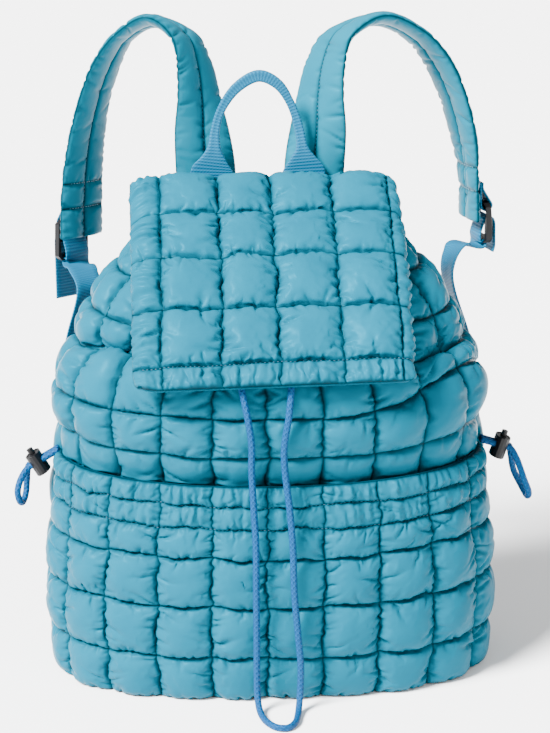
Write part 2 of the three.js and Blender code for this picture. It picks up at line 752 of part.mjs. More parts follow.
const counted = (steps) => Array.from({ length: steps + 1 }, (_, k) => k);

function strapPoint(side, row) {
  const base = STRAP_SHIFT + side.sign * (STRAP_SPACING / 2);
  return new THREE.Vector3(
    base + side.sign * side.reach * row.out,
    STRAP_PLANE + STRAP_SETBACK * row.back,
    STRAP_ANCHOR_HEIGHT + STRAP_RISE * row.up + side.lift * row.own,
  );
}

function strapStations(side) {
  const curve = new THREE.CatmullRomCurve3(STRAP_ROUTE.map((row) => strapPoint(side, row)));
  const last = STRAP_ROUTE.length - 1;
  const facing = (t) => {
    const own = side.twist * between(STRAP_ROUTE, 'own', t * last);
    const turn = radians(between(STRAP_ROUTE, 'turn', t * last) + own);
    const dip = radians(between(STRAP_ROUTE, 'dip', t * last));
    return new THREE.Vector3(
      side.sign * Math.cos(turn) * Math.cos(dip),
      -Math.sin(turn) * Math.cos(dip),
      Math.sin(dip),
    );
  };
  const size = () => ({ halfWidth: STRAP_WIDTH / 2, halfThick: STRAP_THICKNESS / 2 });
  return stationsAlong(curve, counted(STRAP_STEPS), facing, size);
}

// The axes at a strap's free end: down runs on along the strap, out faces away from the bag.
function strapEnd(side) {
  const end = strapStations(side).at(-1);
  const out = end.thick.clone();
  if (out.x * side.sign < 0) out.negate();
  return { middle: end.middle, wide: end.wide, down: end.way.clone(), out };
}

// A point given along a strap end's axes.
function fromEnd(end, out, down, aside = 0) {
  return end.middle.clone()
    .addScaledVector(end.out, out)
    .addScaledVector(end.down, down)
    .addScaledVector(end.wide, aside);
}

// The buckle hangs behind the strap's end: half a webbing, a gap and a turn round its top bar.
const TURN_RADIUS = Math.hypot(BUCKLE_BAR, BUCKLE_THICKNESS) / 2 + 2 * GAP + WEBBING_THICKNESS / 2;
const LOOP_PLANE = STRAP_THICKNESS / 2 + GAP + WEBBING_THICKNESS / 2;
const TOP_BAR = BUCKLE_HEIGHT / 2 - BUCKLE_BAR / 2;
const BAR_BEND = BUCKLE_BEND * (TOP_BAR / (BUCKLE_HEIGHT / 2)) ** 2;
const BUCKLE_PLANE = LOOP_PLANE + TURN_RADIUS + BAR_BEND;

// Middle points of a half turn about a bar, from one side of it to the other.
function halfTurn(end, out, down, direction) {
  return [0, 0.25, 0.5, 0.75, 1].map((share) => {
    const angle = share * Math.PI;
    const along = direction * TURN_RADIUS * Math.sin(angle);
    return fromEnd(end, out - TURN_RADIUS * Math.cos(angle), down + along);
  });
}

function flatBand(points, wide, steps) {
  const curve = new THREE.CatmullRomCurve3(points, false, 'centripetal');
  const size = () => ({ halfWidth: WEBBING_WIDTH / 2, halfThick: WEBBING_THICKNESS / 2 });
  const facing = typeof wide === 'function' ? wide : () => wide.clone();
  return band(stationsAlong(curve, counted(steps), facing, size), FLAT_SECTION);
}

function makeBuckleLoop(side) {
  const end = strapEnd(side);
  const bar = BUCKLE_DROP - TOP_BAR;
  const above = bar - LOOP_LENGTH;
  return flatBand([
    fromEnd(end, LOOP_PLANE, above),
    fromEnd(end, LOOP_PLANE, (above + bar) / 2),
    ...halfTurn(end, LOOP_PLANE + TURN_RADIUS, bar, 1),
    fromEnd(end, LOOP_PLANE + 1.3 * TURN_RADIUS, bar - LOOP_LENGTH / 3),
    fromEnd(end, LOOP_PLANE + WEBBING_THICKNESS + GAP, above + LOOP_LENGTH / 4),
    fromEnd(end, LOOP_PLANE + WEBBING_THICKNESS + GAP, above),
  ], end.wide, 22);
}

function makeBuckle(side) {
  const end = strapEnd(side);
  const plate = new THREE.Shape();
  const halfHeight = BUCKLE_HEIGHT / 2;
  const corner = 0.8 * BUCKLE_BAR;
  const halfWidth = BUCKLE_WIDTH / 2;
  plate.moveTo(-halfWidth, -halfHeight + corner);
  plate.lineTo(-halfWidth + corner, -halfHeight);
  plate.lineTo(halfWidth - corner, -halfHeight);
  plate.lineTo(halfWidth, -halfHeight + corner);
  plate.lineTo(halfWidth, halfHeight - corner);
  plate.lineTo(halfWidth - corner, halfHeight);
  plate.lineTo(-halfWidth + corner, halfHeight);
  plate.lineTo(-halfWidth, halfHeight - corner);
  const slotHalf = halfWidth - BUCKLE_BAR + 1;
  for (const sign of [-1, 1]) {
    const low = sign < 0 ? -halfHeight + BUCKLE_BAR : BUCKLE_BAR / 2;
    const high = sign < 0 ? -BUCKLE_BAR / 2 : halfHeight - BUCKLE_BAR;
    const slot = new THREE.Path();
    slot.moveTo(-slotHalf, low);
    slot.lineTo(-slotHalf, high);
    slot.lineTo(slotHalf, high);
    slot.lineTo(slotHalf, low);
    slot.closePath();
    plate.holes.push(slot);
  }
  const shape = { depth: BUCKLE_THICKNESS, steps: 1, bevelEnabled: false };
  const geometry = new THREE.ExtrudeGeometry(plate, shape);
  const position = geometry.attributes.position;
  for (let k = 0; k < position.count; k += 1) {
    const aside = position.getX(k);
    const up = position.getY(k);
    const bend = BUCKLE_BEND * (up / halfHeight) ** 2;
    const out = BUCKLE_PLANE - bend + position.getZ(k) - BUCKLE_THICKNESS / 2;
    const place = fromEnd(end, out, BUCKLE_DROP - up, aside);
    position.setXYZ(k, place.x, place.y, place.z);
  }
  return outward(geometry);
}

// The same closed body with its faces pointing out.
function outward(geometry) {
  const bare = geometry.clone();
  bare.deleteAttribute('normal');
  bare.deleteAttribute('uv');
  const merged = mergeVertices(bare, 1e-4);
  const points = [];
  for (let k = 0; k < merged.attributes.position.count; k += 1) {
    points.push(new THREE.Vector3().fromBufferAttribute(merged.attributes.position, k));
  }
  const index = Array.from(merged.index.array);
  merged.setIndex(volume(points, index) < 0 ? index.reverse() : index);
  return merged;
}

// The webbing passes this far inside the buckle's middle to clear the bent end of its frame.
const LEG_OFFSET = BUCKLE_BEND + BUCKLE_THICKNESS / 2 + WEBBING_THICKNESS / 2 + 8 * GAP;

// The shoulders of the pillow at the lower back corner that the webbing is sewn to.
function webbingSeat(side, which) {
  const column = side.sign * (WEBBING_COLUMN + ACROSS[which]);
  return bodySurface(column, WEBBING_SEAM, bodyPuff(column, WEBBING_SEAM));
}

// The first stretch of the webbing, flat on that pillow and then clear of the one above it.
function webbingRoot(side) {
  const middle = webbingSeat(side, 0).add(webbingSeat(side, 1)).multiplyScalar(0.5);
  const out = plainNormal(side.sign * (WEBBING_COLUMN + 0.5), WEBBING_SEAM);
  const up = new THREE.Vector3(0, 0, 1).addScaledVector(out, -out.z).normalize();
  const seat = middle.addScaledVector(out, GAP + WEBBING_THICKNESS / 2);
  return [-0.3, 0.3, 1].map((share) => seat.clone()
    .addScaledVector(up, share * WEBBING_WIDTH)
    .addScaledVector(out, share === 1 ? 2 * WEBBING_THICKNESS : 0));
}

// The adjusting webbing: from the lower back corner up to the buckle, over its middle bar and down
// again to the folded tail.
function makeWebbing(side) {
  const end = strapEnd(side);
  const under = BUCKLE_DROP + TOP_BAR;
  const route = side.web.map(
    (row) => new THREE.Vector3(side.sign * HALF_WIDTH * row.out, BACK_REACH * row.back, BODY_HEIGHT * row.up),
  );
  const points = [
    ...webbingRoot(side),
    ...route,
    fromEnd(end, BUCKLE_PLANE - LEG_OFFSET, under + BUCKLE_BAR),
    fromEnd(end, BUCKLE_PLANE - LEG_OFFSET, under - BUCKLE_BAR),
    ...halfTurn(end, BUCKLE_PLANE, BUCKLE_DROP, -1),
    fromEnd(end, BUCKLE_PLANE + TURN_RADIUS, under - 4),
    fromEnd(end, BUCKLE_PLANE + TURN_RADIUS - 0.5, under + 6),
    fromEnd(end, BUCKLE_PLANE + TURN_RADIUS - 2, under + side.tail),
  ];
  const flat = webbingSeat(side, 1).sub(webbingSeat(side, 0)).multiplyScalar(-1).normalize();
  const blend = (t) => flat.clone().lerp(end.wide, smooth((t - 0.12) / 0.22)).normalize();
  return flatBand(points, blend, 44);
}

function makeHandle() {
  const half = HANDLE_SPAN / 2;
  const curve = new THREE.CatmullRomCurve3(HANDLE_ROUTE.map((row) => new THREE.Vector3(
    HANDLE_SHIFT + half * row.across,
    HANDLE_PLANE + HANDLE_LEAN * smooth(2 * row.up - 0.6),
    HANDLE_ANCHOR_HEIGHT + HANDLE_RISE * row.up,
  )));
  const last = HANDLE_ROUTE.length - 1;
  const size = (t) => ({
    halfWidth: (HANDLE_WIDTH / 2) * between(HANDLE_ROUTE, 'width', t * last),
    halfThick: (HANDLE_THICKNESS / 2) * between(HANDLE_ROUTE, 'thick', t * last),
  });
  const stations = counted(HANDLE_STEPS).map((place) => {
    const t = place / HANDLE_STEPS;
    const way = curve.getTangent(t);
    const thick = new THREE.Vector3(0, 1, 0);
    const wide = new THREE.Vector3().crossVectors(way, thick).normalize();
    return { middle: curve.getPoint(t), wide, thick, ...size(t) };
  });
  return band(stations, FOLDED_SECTION);
}

function makeDrawcord() {
  return tube(DRAWCORD_ROUTE.map((p) => new THREE.Vector3(...p)), CORD_RADIUS, DRAWCORD_STEPS);
}

// The axes of a cord lock: press along its button, cord along the cord and outward from the bag.
function lockAxes(side) {
  const lean = radians(side.lean);
  const press = new THREE.Vector3(side.sign * Math.sin(lean), 0, Math.cos(lean));
  const cord = new THREE.Vector3(side.sign * Math.cos(lean), 0, -Math.sin(lean));
  const middle = new THREE.Vector3(side.sign * side.lock[0], side.lock[1], side.lock[2]);
  return { middle, press, cord };
}

const STRAND = CORD_RADIUS + GAP / 2;

function makeSideCord(side) {
  const { middle, cord } = lockAxes(side);
  const strand = (sign, along) => middle.clone()
    .addScaledVector(cord, along)
    .add(new THREE.Vector3(0, sign * STRAND, 0));
  const seat = plainPoint(side.sign * QUARTER, CORD_EXIT_SEAM);
  const root = (Math.abs(middle.x - seat.x) - SIDE_CORD_STANDOFF) / Math.abs(cord.x);
  const loop = side.loop.map(([x, y, z]) => new THREE.Vector3(side.sign * x, y, z));
  const points = [
    strand(-1, -root),
    strand(-1, -LOCK_DEPTH / 3),
    strand(-1, LOCK_DEPTH / 3),
    strand(-1, LOCK_DEPTH / 2 + LOCK_WALL),
    ...loop,
    strand(1, LOCK_DEPTH / 2 + LOCK_WALL),
    strand(1, LOCK_DEPTH / 3),
    strand(1, -LOCK_DEPTH / 3),
    strand(1, -root),
  ];
  return tube(points, CORD_RADIUS, SIDE_CORD_STEPS);
}

// An upright oval post standing on low, as wide across the cord and as deep along it as given.
function ovalPost(width, depth, low, high, sides = 16) {
  const post = new THREE.CylinderGeometry(0.5, 0.5, high - low, sides);
  post.rotateX(Math.PI / 2);
  post.scale(width, depth, 1);
  post.translate(0, 0, (low + high) / 2);
  return toSolid(post);
}

function block(width, depth, low, high) {
  const box = new THREE.BoxGeometry(width, depth, high - low);
  box.translate(0, 0, (low + high) / 2);
  return toSolid(box);
}

// Lock pieces are made upright with the cord hole along their own Y, and then leaned over.
const SLOT_WIDTH = 2 * (STRAND + CORD_RADIUS + GAP);
const SLOT_HALF = CORD_RADIUS + GAP;
const ROD_WIDTH = LOCK_WIDTH - 2 * LOCK_WALL - 2 * GAP;
const ROD_DEPTH = LOCK_DEPTH - 2 * LOCK_WALL - 2 * GAP;
const LOCK_TOP = 7;
const LOCK_FLOOR = LOCK_TOP - LOCK_LENGTH + LOCK_WALL;
const ROD_LOW = LOCK_FLOOR + BUTTON_STROKE + GAP;

function placeLock(solid, side) {
  const { middle, press, cord } = lockAxes(side);
  const across = new THREE.Vector3().crossVectors(cord, press);
  const frame = new THREE.Matrix4().makeBasis(across, cord, press).setPosition(middle);
  return outward(toGeometry(solid).applyMatrix4(frame));
}

function makeLockBarrel(side) {
  const solid = ovalPost(LOCK_WIDTH, LOCK_DEPTH, LOCK_TOP - LOCK_LENGTH, LOCK_TOP)
    .subtract(ovalPost(ROD_WIDTH + 2 * GAP, ROD_DEPTH + 2 * GAP, LOCK_FLOOR, LOCK_TOP + 1))
    .subtract(block(SLOT_WIDTH, 2 * LOCK_DEPTH, -SLOT_HALF, SLOT_HALF));
  return placeLock(solid, side);
}

function makeLockButton(side) {
  const solid = ovalPost(ROD_WIDTH, ROD_DEPTH, ROD_LOW, LOCK_TOP - GAP)
    .add(ovalPost(BUTTON_NUB, BUTTON_NUB, LOCK_TOP - GAP - 1, LOCK_TOP + BUTTON_STROKE + LOCK_WALL, 10))
    .subtract(block(SLOT_WIDTH, 2 * LOCK_DEPTH, -SLOT_HALF, SLOT_HALF + BUTTON_STROKE));
  return placeLock(solid, side);
}

const bag = new THREE.Group();

function addPiece(name, geometry, colour, roughness) {
  const bare = geometry.index ? geometry : outward(geometry);
  bare.computeVertexNormals();
  const material = new THREE.MeshStandardMaterial({ color: colour, roughness, metalness: 0 });
  const mesh = new THREE.Mesh(bare, material);
  mesh.name = name;
  bag.add(mesh);
}

addPiece('body', makeBody(), COLOURS.shell, 0.45);
addPiece('base_pad', makeBasePad(), COLOURS.shell, 0.5);
addPiece('front_pocket', makePocket(), COLOURS.shell, 0.45);
addPiece('mouth_casing', makeCasing(), COLOURS.shell, 0.5);
addPiece('flap', makeFlap(), COLOURS.shell, 0.45);
addPiece('grab_handle', makeHandle(), COLOURS.webbing, 0.6);
addPiece('drawcord', makeDrawcord(), COLOURS.cord, 0.6);

for (const side of SIDES) {
  addPiece(`shoulder_strap_${side.name}`, band(strapStations(side), STRAP_SECTION), COLOURS.strap, 0.45);
  addPiece(`buckle_loop_${side.name}`, makeBuckleLoop(side), COLOURS.webbing, 0.6);
  addPiece(`strap_buckle_${side.name}`, makeBuckle(side), COLOURS.plastic, 0.3);
  addPiece(`strap_webbing_${side.name}`, makeWebbing(side), COLOURS.webbing, 0.6);
  addPiece(`side_cord_${side.name}`, makeSideCord(side), COLOURS.cord, 0.6);
  addPiece(`cord_lock_barrel_${side.name}`, makeLockBarrel(side), COLOURS.plastic, 0.3);
  addPiece(`cord_lock_button_${side.name}`, makeLockButton(side), COLOURS.plastic, 0.3);
}

export default bag;
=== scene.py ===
from math import cos, hypot, pi, radians, sin

import bpy
import numpy as np
from mathutils import Matrix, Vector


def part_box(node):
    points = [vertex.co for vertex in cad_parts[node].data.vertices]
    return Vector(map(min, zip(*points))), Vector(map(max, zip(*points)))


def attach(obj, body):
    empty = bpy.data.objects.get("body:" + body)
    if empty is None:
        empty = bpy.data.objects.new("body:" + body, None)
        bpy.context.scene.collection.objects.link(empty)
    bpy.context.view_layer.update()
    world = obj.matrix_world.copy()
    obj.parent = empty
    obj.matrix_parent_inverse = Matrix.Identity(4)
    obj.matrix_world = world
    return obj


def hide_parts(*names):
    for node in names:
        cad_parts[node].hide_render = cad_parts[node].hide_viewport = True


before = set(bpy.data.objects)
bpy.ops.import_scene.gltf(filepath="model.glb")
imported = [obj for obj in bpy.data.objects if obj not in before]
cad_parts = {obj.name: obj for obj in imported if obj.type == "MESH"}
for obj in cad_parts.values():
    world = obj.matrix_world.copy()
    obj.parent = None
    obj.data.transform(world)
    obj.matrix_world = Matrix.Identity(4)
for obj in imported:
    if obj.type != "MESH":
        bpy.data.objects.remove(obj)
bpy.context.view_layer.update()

# Studio: a pale floor that runs on past the view, a broad soft light high on the left, a weak one
# on the right, and a camera a little above the bag, as in the photograph.

VIEW_AZIMUTH = radians(-3)
VIEW_ELEVATION = radians(18)
VIEW_DISTANCE = 1.70
VIEW_HEIGHT = 0.235
VIEW_LENS = 111.3
PHOTO_HEIGHT = 733
VIEW_SHIFT = 4.5 / PHOTO_HEIGHT
VIEW_REACH = 50
SENSOR_WIDTH = 36
FLOOR_SIZE = 14
PAPER = (0.9, 0.9, 0.9)
PAPER_ROUGHNESS = 0.9
WORLD_STRENGTH = 0.75
# Each sun's azimuth from the front, elevation and spread in degrees, and its strength.
SUNS = {"key": (-56, 46, 20, 25), "fill": (35, 35, 60, 1.2)}


def place_camera():
    back = np.array([
        sin(VIEW_AZIMUTH) * cos(VIEW_ELEVATION),
        -cos(VIEW_AZIMUTH) * cos(VIEW_ELEVATION),
        sin(VIEW_ELEVATION),
    ])
    right = np.array([cos(VIEW_AZIMUTH), sin(VIEW_AZIMUTH), 0])
    up = np.cross(back, right)
    place = np.array([0, 0, VIEW_HEIGHT]) + VIEW_DISTANCE * back
    camera = bpy.data.objects.new("camera", bpy.data.cameras.new("camera"))
    camera.data.lens = VIEW_LENS
    camera.data.sensor_width = SENSOR_WIDTH
    camera.data.shift_x = VIEW_SHIFT
    camera.data.clip_end = VIEW_REACH
    camera.matrix_world = Matrix([
        [right[0], up[0], back[0], place[0]],
        [right[1], up[1], back[1], place[1]],
        [right[2], up[2], back[2], place[2]],
        [0, 0, 0, 1],
    ])
    bpy.context.scene.collection.objects.link(camera)
    bpy.context.scene.camera = camera


def soft_sun(name, azimuth, elevation, spread, strength):
    """A far, broad light that falls evenly on the whole floor; azimuth is counted from the front."""
    light = bpy.data.lights.new(name, "SUN")
    light.angle = radians(spread)
    light.energy = strength
    lamp = bpy.data.objects.new(name, light)
    turn = Matrix.Rotation(radians(azimuth), 4, "Z") @ Matrix.Rotation(radians(90 - elevation), 4, "X")
    lamp.matrix_world = turn @ Matrix.Translation((0, 0, 5))
    bpy.context.scene.collection.objects.link(lamp)


def new_material(name):
    """A material, its node tree and its shader."""
    material = bpy.data.materials.new(name)
    material.use_nodes = True
    return material, material.node_tree, material.node_tree.nodes["Principled BSDF"]


place_camera()
for sun_name, sun_values in SUNS.items():
    soft_sun(sun_name, *sun_values)

world = bpy.data.worlds.new("studio")
world.use_nodes = True
world.node_tree.nodes["Background"].inputs["Color"].default_value = (1, 1, 1, 1)
world.node_tree.nodes["Background"].inputs["Strength"].default_value = WORLD_STRENGTH
bpy.context.scene.world = world

paper, _, paper_shader = new_material("paper")
paper_shader.inputs["Base Color"].default_value = (*PAPER, 1)
paper_shader.inputs["Roughness"].default_value = PAPER_ROUGHNESS

half = FLOOR_SIZE / 2
floor_corners = [(-half, -half, 0), (half, -half, 0), (half, half, 0), (-half, half, 0)]
floor_mesh = bpy.data.meshes.new("floor")
floor_mesh.from_pydata(floor_corners, [], [(0, 1, 2, 3)])
floor_mesh.materials.append(paper)
floor = bpy.data.objects.new("floor", floor_mesh)
bpy.context.scene.collection.objects.link(floor)

# Drawcord and side cords: 5 mm braided cord, limp. The drawcord leaves two holes in the gathered
# mouth, hangs down the front in one long loop and turns on the ground. A short loop of the cord in
# the pocket's hem hangs from a cord lock at each side.

CORD_DIAMETER = 0.005
CORD_SIDES = 16
CORD_END = 0.9
CORD_TURN = (0.31, 0.2, 0.93)
# Painted shade for the grooves between the braid's strands.
CORD_GROOVE_SHADE = (0.0, 0.018, 0.066)
CORD_LIGHT = (0.0, 0.044, 0.136)
CORD_PALE = (0.0, 0.09, 0.22)
CORD_CROSSING = 0.45
CORD_PALENESS = 0.35
BRAID_PITCH = 0.0042
BRAID_STRANDS = 4
SPAN_STEPS = 24
DRAWCORD_STEPS = 420
SIDE_CORD_STEPS = 120
STRAND_GAP = 0.00015
STRAND = CORD_DIAMETER / 2 + STRAND_GAP
LOCK_DEPTH = 0.012
LOCK_WALL = 0.0015
DRAWCORD_ROUTE = [
    (-0.024, 0.0075, 0.319), (-0.0244, -0.008, 0.3178), (-0.0251, -0.022, 0.3125),
    (-0.026, -0.044, 0.296), (-0.0265, -0.072, 0.273), (-0.026, -0.092, 0.252),
    (-0.022, -0.099, 0.232), (-0.0187, -0.0995, 0.209), (-0.0188, -0.0995, 0.19),
    (-0.0175, -0.101, 0.163), (-0.016, -0.103, 0.135), (-0.0158, -0.1035, 0.1),
    (-0.0154, -0.102, 0.06), (-0.0153, -0.1005, 0.03), (-0.015, -0.101, 0.015),
    (-0.014, -0.106, 0.0055), (-0.012, -0.115, 0.0026), (-0.0085, -0.125, 0.0026),
    (-0.002, -0.133, 0.0026), (0.0055, -0.134, 0.0026), (0.0115, -0.126, 0.0026),
    (0.014, -0.115, 0.0026), (0.0155, -0.106, 0.0055), (0.0167, -0.101, 0.016),
    (0.017, -0.101, 0.036), (0.0148, -0.1025, 0.062), (0.012, -0.1035, 0.095),
    (0.0108, -0.103, 0.13), (0.0085, -0.101, 0.16), (0.0052, -0.0995, 0.188),
    (0.0046, -0.0995, 0.206), (0.0082, -0.099, 0.232), (0.01, -0.092, 0.252),
    (0.0105, -0.072, 0.273), (0.011, -0.044, 0.296), (0.0107, -0.022, 0.3125),
    (0.0103, -0.008, 0.3178), (0.01, 0.0075, 0.319),
]
SIDES = {
    "left": {"sign": -1, "lean": 31, "lock": (0.1765, 0, 0.163), "loop": [
        (0.188, -0.006, 0.153), (0.1915, -0.0095, 0.143), (0.1905, -0.0075, 0.134), (0.1885, 0, 0.13),
        (0.1865, 0.0075, 0.134), (0.1855, 0.0095, 0.143), (0.1845, 0.006, 0.153)]},
    "right": {"sign": 1, "lean": 18, "lock": (0.1755, 0, 0.17), "loop": [
        (0.1875, -0.0055, 0.16), (0.193, -0.0095, 0.145), (0.1975, -0.0075, 0.133), (0.1975, 0, 0.1275),
        (0.194, 0.0075, 0.133), (0.188, 0.0095, 0.145), (0.1845, 0.0055, 0.16)]},
}


def run_length(points, axis=0):
    """Lengths along a line, or along a grid of points from its first row or column."""
    step = np.linalg.norm(np.diff(points, axis=axis), axis=-1)
    start = np.zeros_like(np.take(step, [0], axis))
    return np.concatenate([start, np.cumsum(step, axis=axis)], axis=axis)


def smooth_line(points, count, rows=False):
    """Evenly spaced points on the centripetal curve through the given points, and with rows their
    places counted in those points."""
    p = np.array(points, float)
    p = np.vstack([2 * p[0] - p[1], p, 2 * p[-1] - p[-2]])
    line, row = [], []
    for i in range(1, len(p) - 2):
        gaps = np.linalg.norm(np.diff(p[i - 1:i + 3], axis=0), axis=1)
        knots = np.concatenate([[0], np.cumsum(np.maximum(gaps, 1e-9) ** 0.5)])
        t = np.linspace(knots[1], knots[2], SPAN_STEPS, endpoint=i == len(p) - 3)[:, None]
        flat = [
            ((knots[k + 1] - t) * p[i + k - 1] + (t - knots[k]) * p[i + k]) / (knots[k + 1] - knots[k])
            for k in (0, 1, 2)
        ]
        bent = [
            ((knots[k + 2] - t) * flat[k] + (t - knots[k]) * flat[k + 1]) / (knots[k + 2] - knots[k])
            for k in (0, 1)
        ]
        line.append(((knots[2] - t) * bent[0] + (t - knots[1]) * bent[1]) / (knots[2] - knots[1]))
        row.append(i - 1 + (t[:, 0] - knots[1]) / (knots[2] - knots[1]))
    line, row = np.vstack(line), np.concatenate(row)
    along = run_length(line)
    places = np.linspace(0, along[-1], count)
    even = np.stack([np.interp(places, along, line[:, k]) for k in range(3)], axis=1)
    return (even, np.interp(places, along, row)) if rows else even


def line_length(points):
    return float(np.linalg.norm(np.diff(points, axis=0), axis=1).sum())


def unit(v):
    return v / np.maximum(np.linalg.norm(v, axis=-1, keepdims=True), 1e-12)


def new_piece(name, points, faces, uv=None, seam_shade=None):
    """A smooth mesh object in the row frame; uv holds a pair for each vertex, and the last argument a
    number: its depth of painted seam shade.
    """
    mesh = bpy.data.meshes.new(name)
    mesh.from_pydata([tuple(p) for p in np.asarray(points, float)], [], [tuple(f) for f in faces])
    mesh.polygons.foreach_set("use_smooth", [True] * len(mesh.polygons))
    if uv is not None:
        corner = np.zeros(len(mesh.loops), int)
        mesh.loops.foreach_get("vertex_index", corner)
        layer = mesh.uv_layers.new(name="cloth")
        layer.data.foreach_set("uv", np.asarray(uv, float)[corner].ravel())
    # The painted shade down the seams and folds, a number for each vertex that the nylon material reads.
    if seam_shade is not None:
        deep = mesh.attributes.new("seam_shade", "FLOAT", "POINT")
        deep.data.foreach_set("value", np.asarray(seam_shade, float))
    mesh.update()
    piece = bpy.data.objects.new(name, mesh)
    bpy.context.scene.collection.objects.link(piece)
    return piece


def face_out(piece):
    """Turns every face of a closed mesh outwards."""
    mesh = piece.data
    mesh.calc_loop_triangles()
    points = np.zeros(len(mesh.vertices) * 3)
    mesh.vertices.foreach_get("co", points)
    points = points.reshape(-1, 3)
    corners = np.zeros(len(mesh.loop_triangles) * 3, int)
    mesh.loop_triangles.foreach_get("vertices", corners)
    a, b, c = (points[corners.reshape(-1, 3)[:, k]] for k in range(3))
    if np.einsum("ij,ij->i", a, np.cross(b, c)).sum() < 0:
        mesh.flip_normals()


def sweep(name, rings, uv=None, seam_shade=None):
    """A closed tube from rings of points, with a fan over each end."""
    rings = np.asarray(rings, float)
    steps, size = rings.shape[:2]
    points = list(rings.reshape(-1, 3))
    faces = []
    for i in range(steps - 1):
        for j in range(size):
            a, b = i * size + j, i * size + (j + 1) % size
            faces.append((a, a + size, b + size, b))
    if uv is not None:
        uv = list(np.asarray(uv, float).reshape(-1, 2))
    for ring in (0, steps - 1):
        hub = len(points)
        points.append(rings[ring].mean(axis=0))
        if uv is not None:
            uv.append(uv[ring * size])
        for j in range(size):
            a, b = ring * size + j, ring * size + (j + 1) % size
            faces.append((hub, a, b) if ring == 0 else (hub, b, a))
    if seam_shade is not None:
        seam_shade = np.concatenate([np.ravel(seam_shade), [0, 0]])
    piece = new_piece(name, points, faces, uv, seam_shade)
    face_out(piece)
    return piece


def finish(piece, material, cad):
    """Gives a piece its material and the body it is on, and hides the CAD node that it stands for."""
    piece.data.materials.append(material)
    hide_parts(cad)
    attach(piece, "bag")


def cord_piece(name, route, count, cad):
    """A round cord along a route, kept above the ground, with places round and along it for the braid."""
    line = smooth_line(route, count)
    line[:, 2] = np.maximum(line[:, 2], CORD_DIAMETER / 2)
    length = run_length(line)
    way = unit(np.gradient(line, axis=0))
    wide = unit(np.cross(way[0], CORD_TURN))
    angles = np.linspace(0, 2 * pi, CORD_SIDES, endpoint=False)
    rings, uv = [], []
    for k, middle in enumerate(line):
        wide = unit(wide - way[k] * wide.dot(way[k]))
        thick = np.cross(way[k], wide)
        radius = CORD_DIAMETER / 2 * (CORD_END if k in (0, count - 1) else 1)
        rings.append(middle + radius * (np.outer(np.cos(angles), wide) + np.outer(np.sin(angles), thick)))
        uv.append([(a / (2 * pi), length[k]) for a in angles])
    piece = sweep(name, rings, uv)
    line_length(line)
    finish(piece, cord_material, cad)


def node(tree, kind, inputs=(), **settings):
    """A new node with its settings, and each input linked to a socket or set to a value."""
    made = tree.nodes.new(kind)
    for key, value in settings.items():
        setattr(made, key, value)
    for socket, value in dict(inputs).items():
        if isinstance(value, bpy.types.NodeSocket):
            tree.links.new(value, made.inputs[socket])
        else:
            made.inputs[socket].default_value = value
    return made


def maths(tree, operation, a, b=0.0, c=0.0):
    return node(tree, "ShaderNodeMath", {0: a, 1: b, 2: c}, operation=operation).outputs[0]


def mixed(tree, share, a, b):
    """A colour between two, each a socket or three numbers."""
    mix = node(tree, "ShaderNodeMix", {"Factor": share}, data_type="RGBA")
    for socket, value in ((mix.inputs[6], a), (mix.inputs[7], b)):
        if isinstance(value, bpy.types.NodeSocket):
            tree.links.new(value, socket)
        else:
            socket.default_value = (*value, 1)
    return mix.outputs[2]


def cloth_places(tree):
    """The two coordinates of a piece's own UV map."""
    uv = node(tree, "ShaderNodeUVMap", uv_map="cloth")
    return node(tree, "ShaderNodeSeparateXYZ", {0: uv.outputs[0]}).outputs[:2]


def surface(tree, shader, base, height, strength, distance):
    """Links a colour to the shader, and a bump of this strength and depth from a height."""
    bump = node(tree, "ShaderNodeBump", {"Strength": strength, "Distance": distance, "Height": height})
    tree.links.new(base, shader.inputs["Base Color"])
    tree.links.new(bump.outputs[0], shader.inputs["Normal"])


def make_cord_material():
    """Braided cord: two sets of strands crossing on the slant, with a paler thread among them, and
    painted shade darkening the grooves between the strands.
    """
    material, tree, shader = new_material("braided_cord")
    u, v = cloth_places(tree)
    around = maths(tree, "MULTIPLY", u, BRAID_STRANDS * 2 * pi)
    along = maths(tree, "MULTIPLY", v, 2 * pi / BRAID_PITCH)
    one = maths(tree, "SINE", maths(tree, "ADD", around, along))
    other = maths(tree, "SINE", maths(tree, "SUBTRACT", around, along))
    height = maths(tree, "MAXIMUM", one, other)
    crossing = maths(tree, "GREATER_THAN", maths(tree, "MULTIPLY", one, other), CORD_CROSSING)
    # Painted shade: darker where the strands sink, lighter on their tops.
    base = mixed(tree, maths(tree, "MULTIPLY_ADD", height, 0.5, 0.5), CORD_GROOVE_SHADE, CORD_LIGHT)
    base = mixed(tree, maths(tree, "MULTIPLY", crossing, CORD_PALENESS), base, CORD_PALE)
    surface(tree, shader, base, height, strength=0.5, distance=0.0006)
    shader.inputs["Roughness"].default_value = 0.55
    shader.inputs["Specular IOR Level"].default_value = 0.1
    return material


def side_cord_route(side_name, side):
    """A side cord from the pocket's hem through its lock, round its loop and back."""
    lean = radians(side["lean"])
    cord = np.array([side["sign"] * cos(lean), 0, -sin(lean)])
    middle = np.array(side["lock"]) * (side["sign"], 1, 1)
    low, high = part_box(f"side_cord_{side_name}")
    edge = low.x if side["sign"] > 0 else high.x
    root = (abs(middle[0] - edge) - CORD_DIAMETER / 2 * sin(lean)) / cos(lean)

    def strand(sign, along):
        return middle + along * cord + np.array([0, sign * STRAND, 0])

    stops = [-root, -LOCK_DEPTH / 3, LOCK_DEPTH / 3, LOCK_DEPTH / 2 + LOCK_WALL]
    loop = [np.array(p) * (side["sign"], 1, 1) for p in side["loop"]]
    return [strand(-1, s) for s in stops] + loop + [strand(1, s) for s in reversed(stops)]


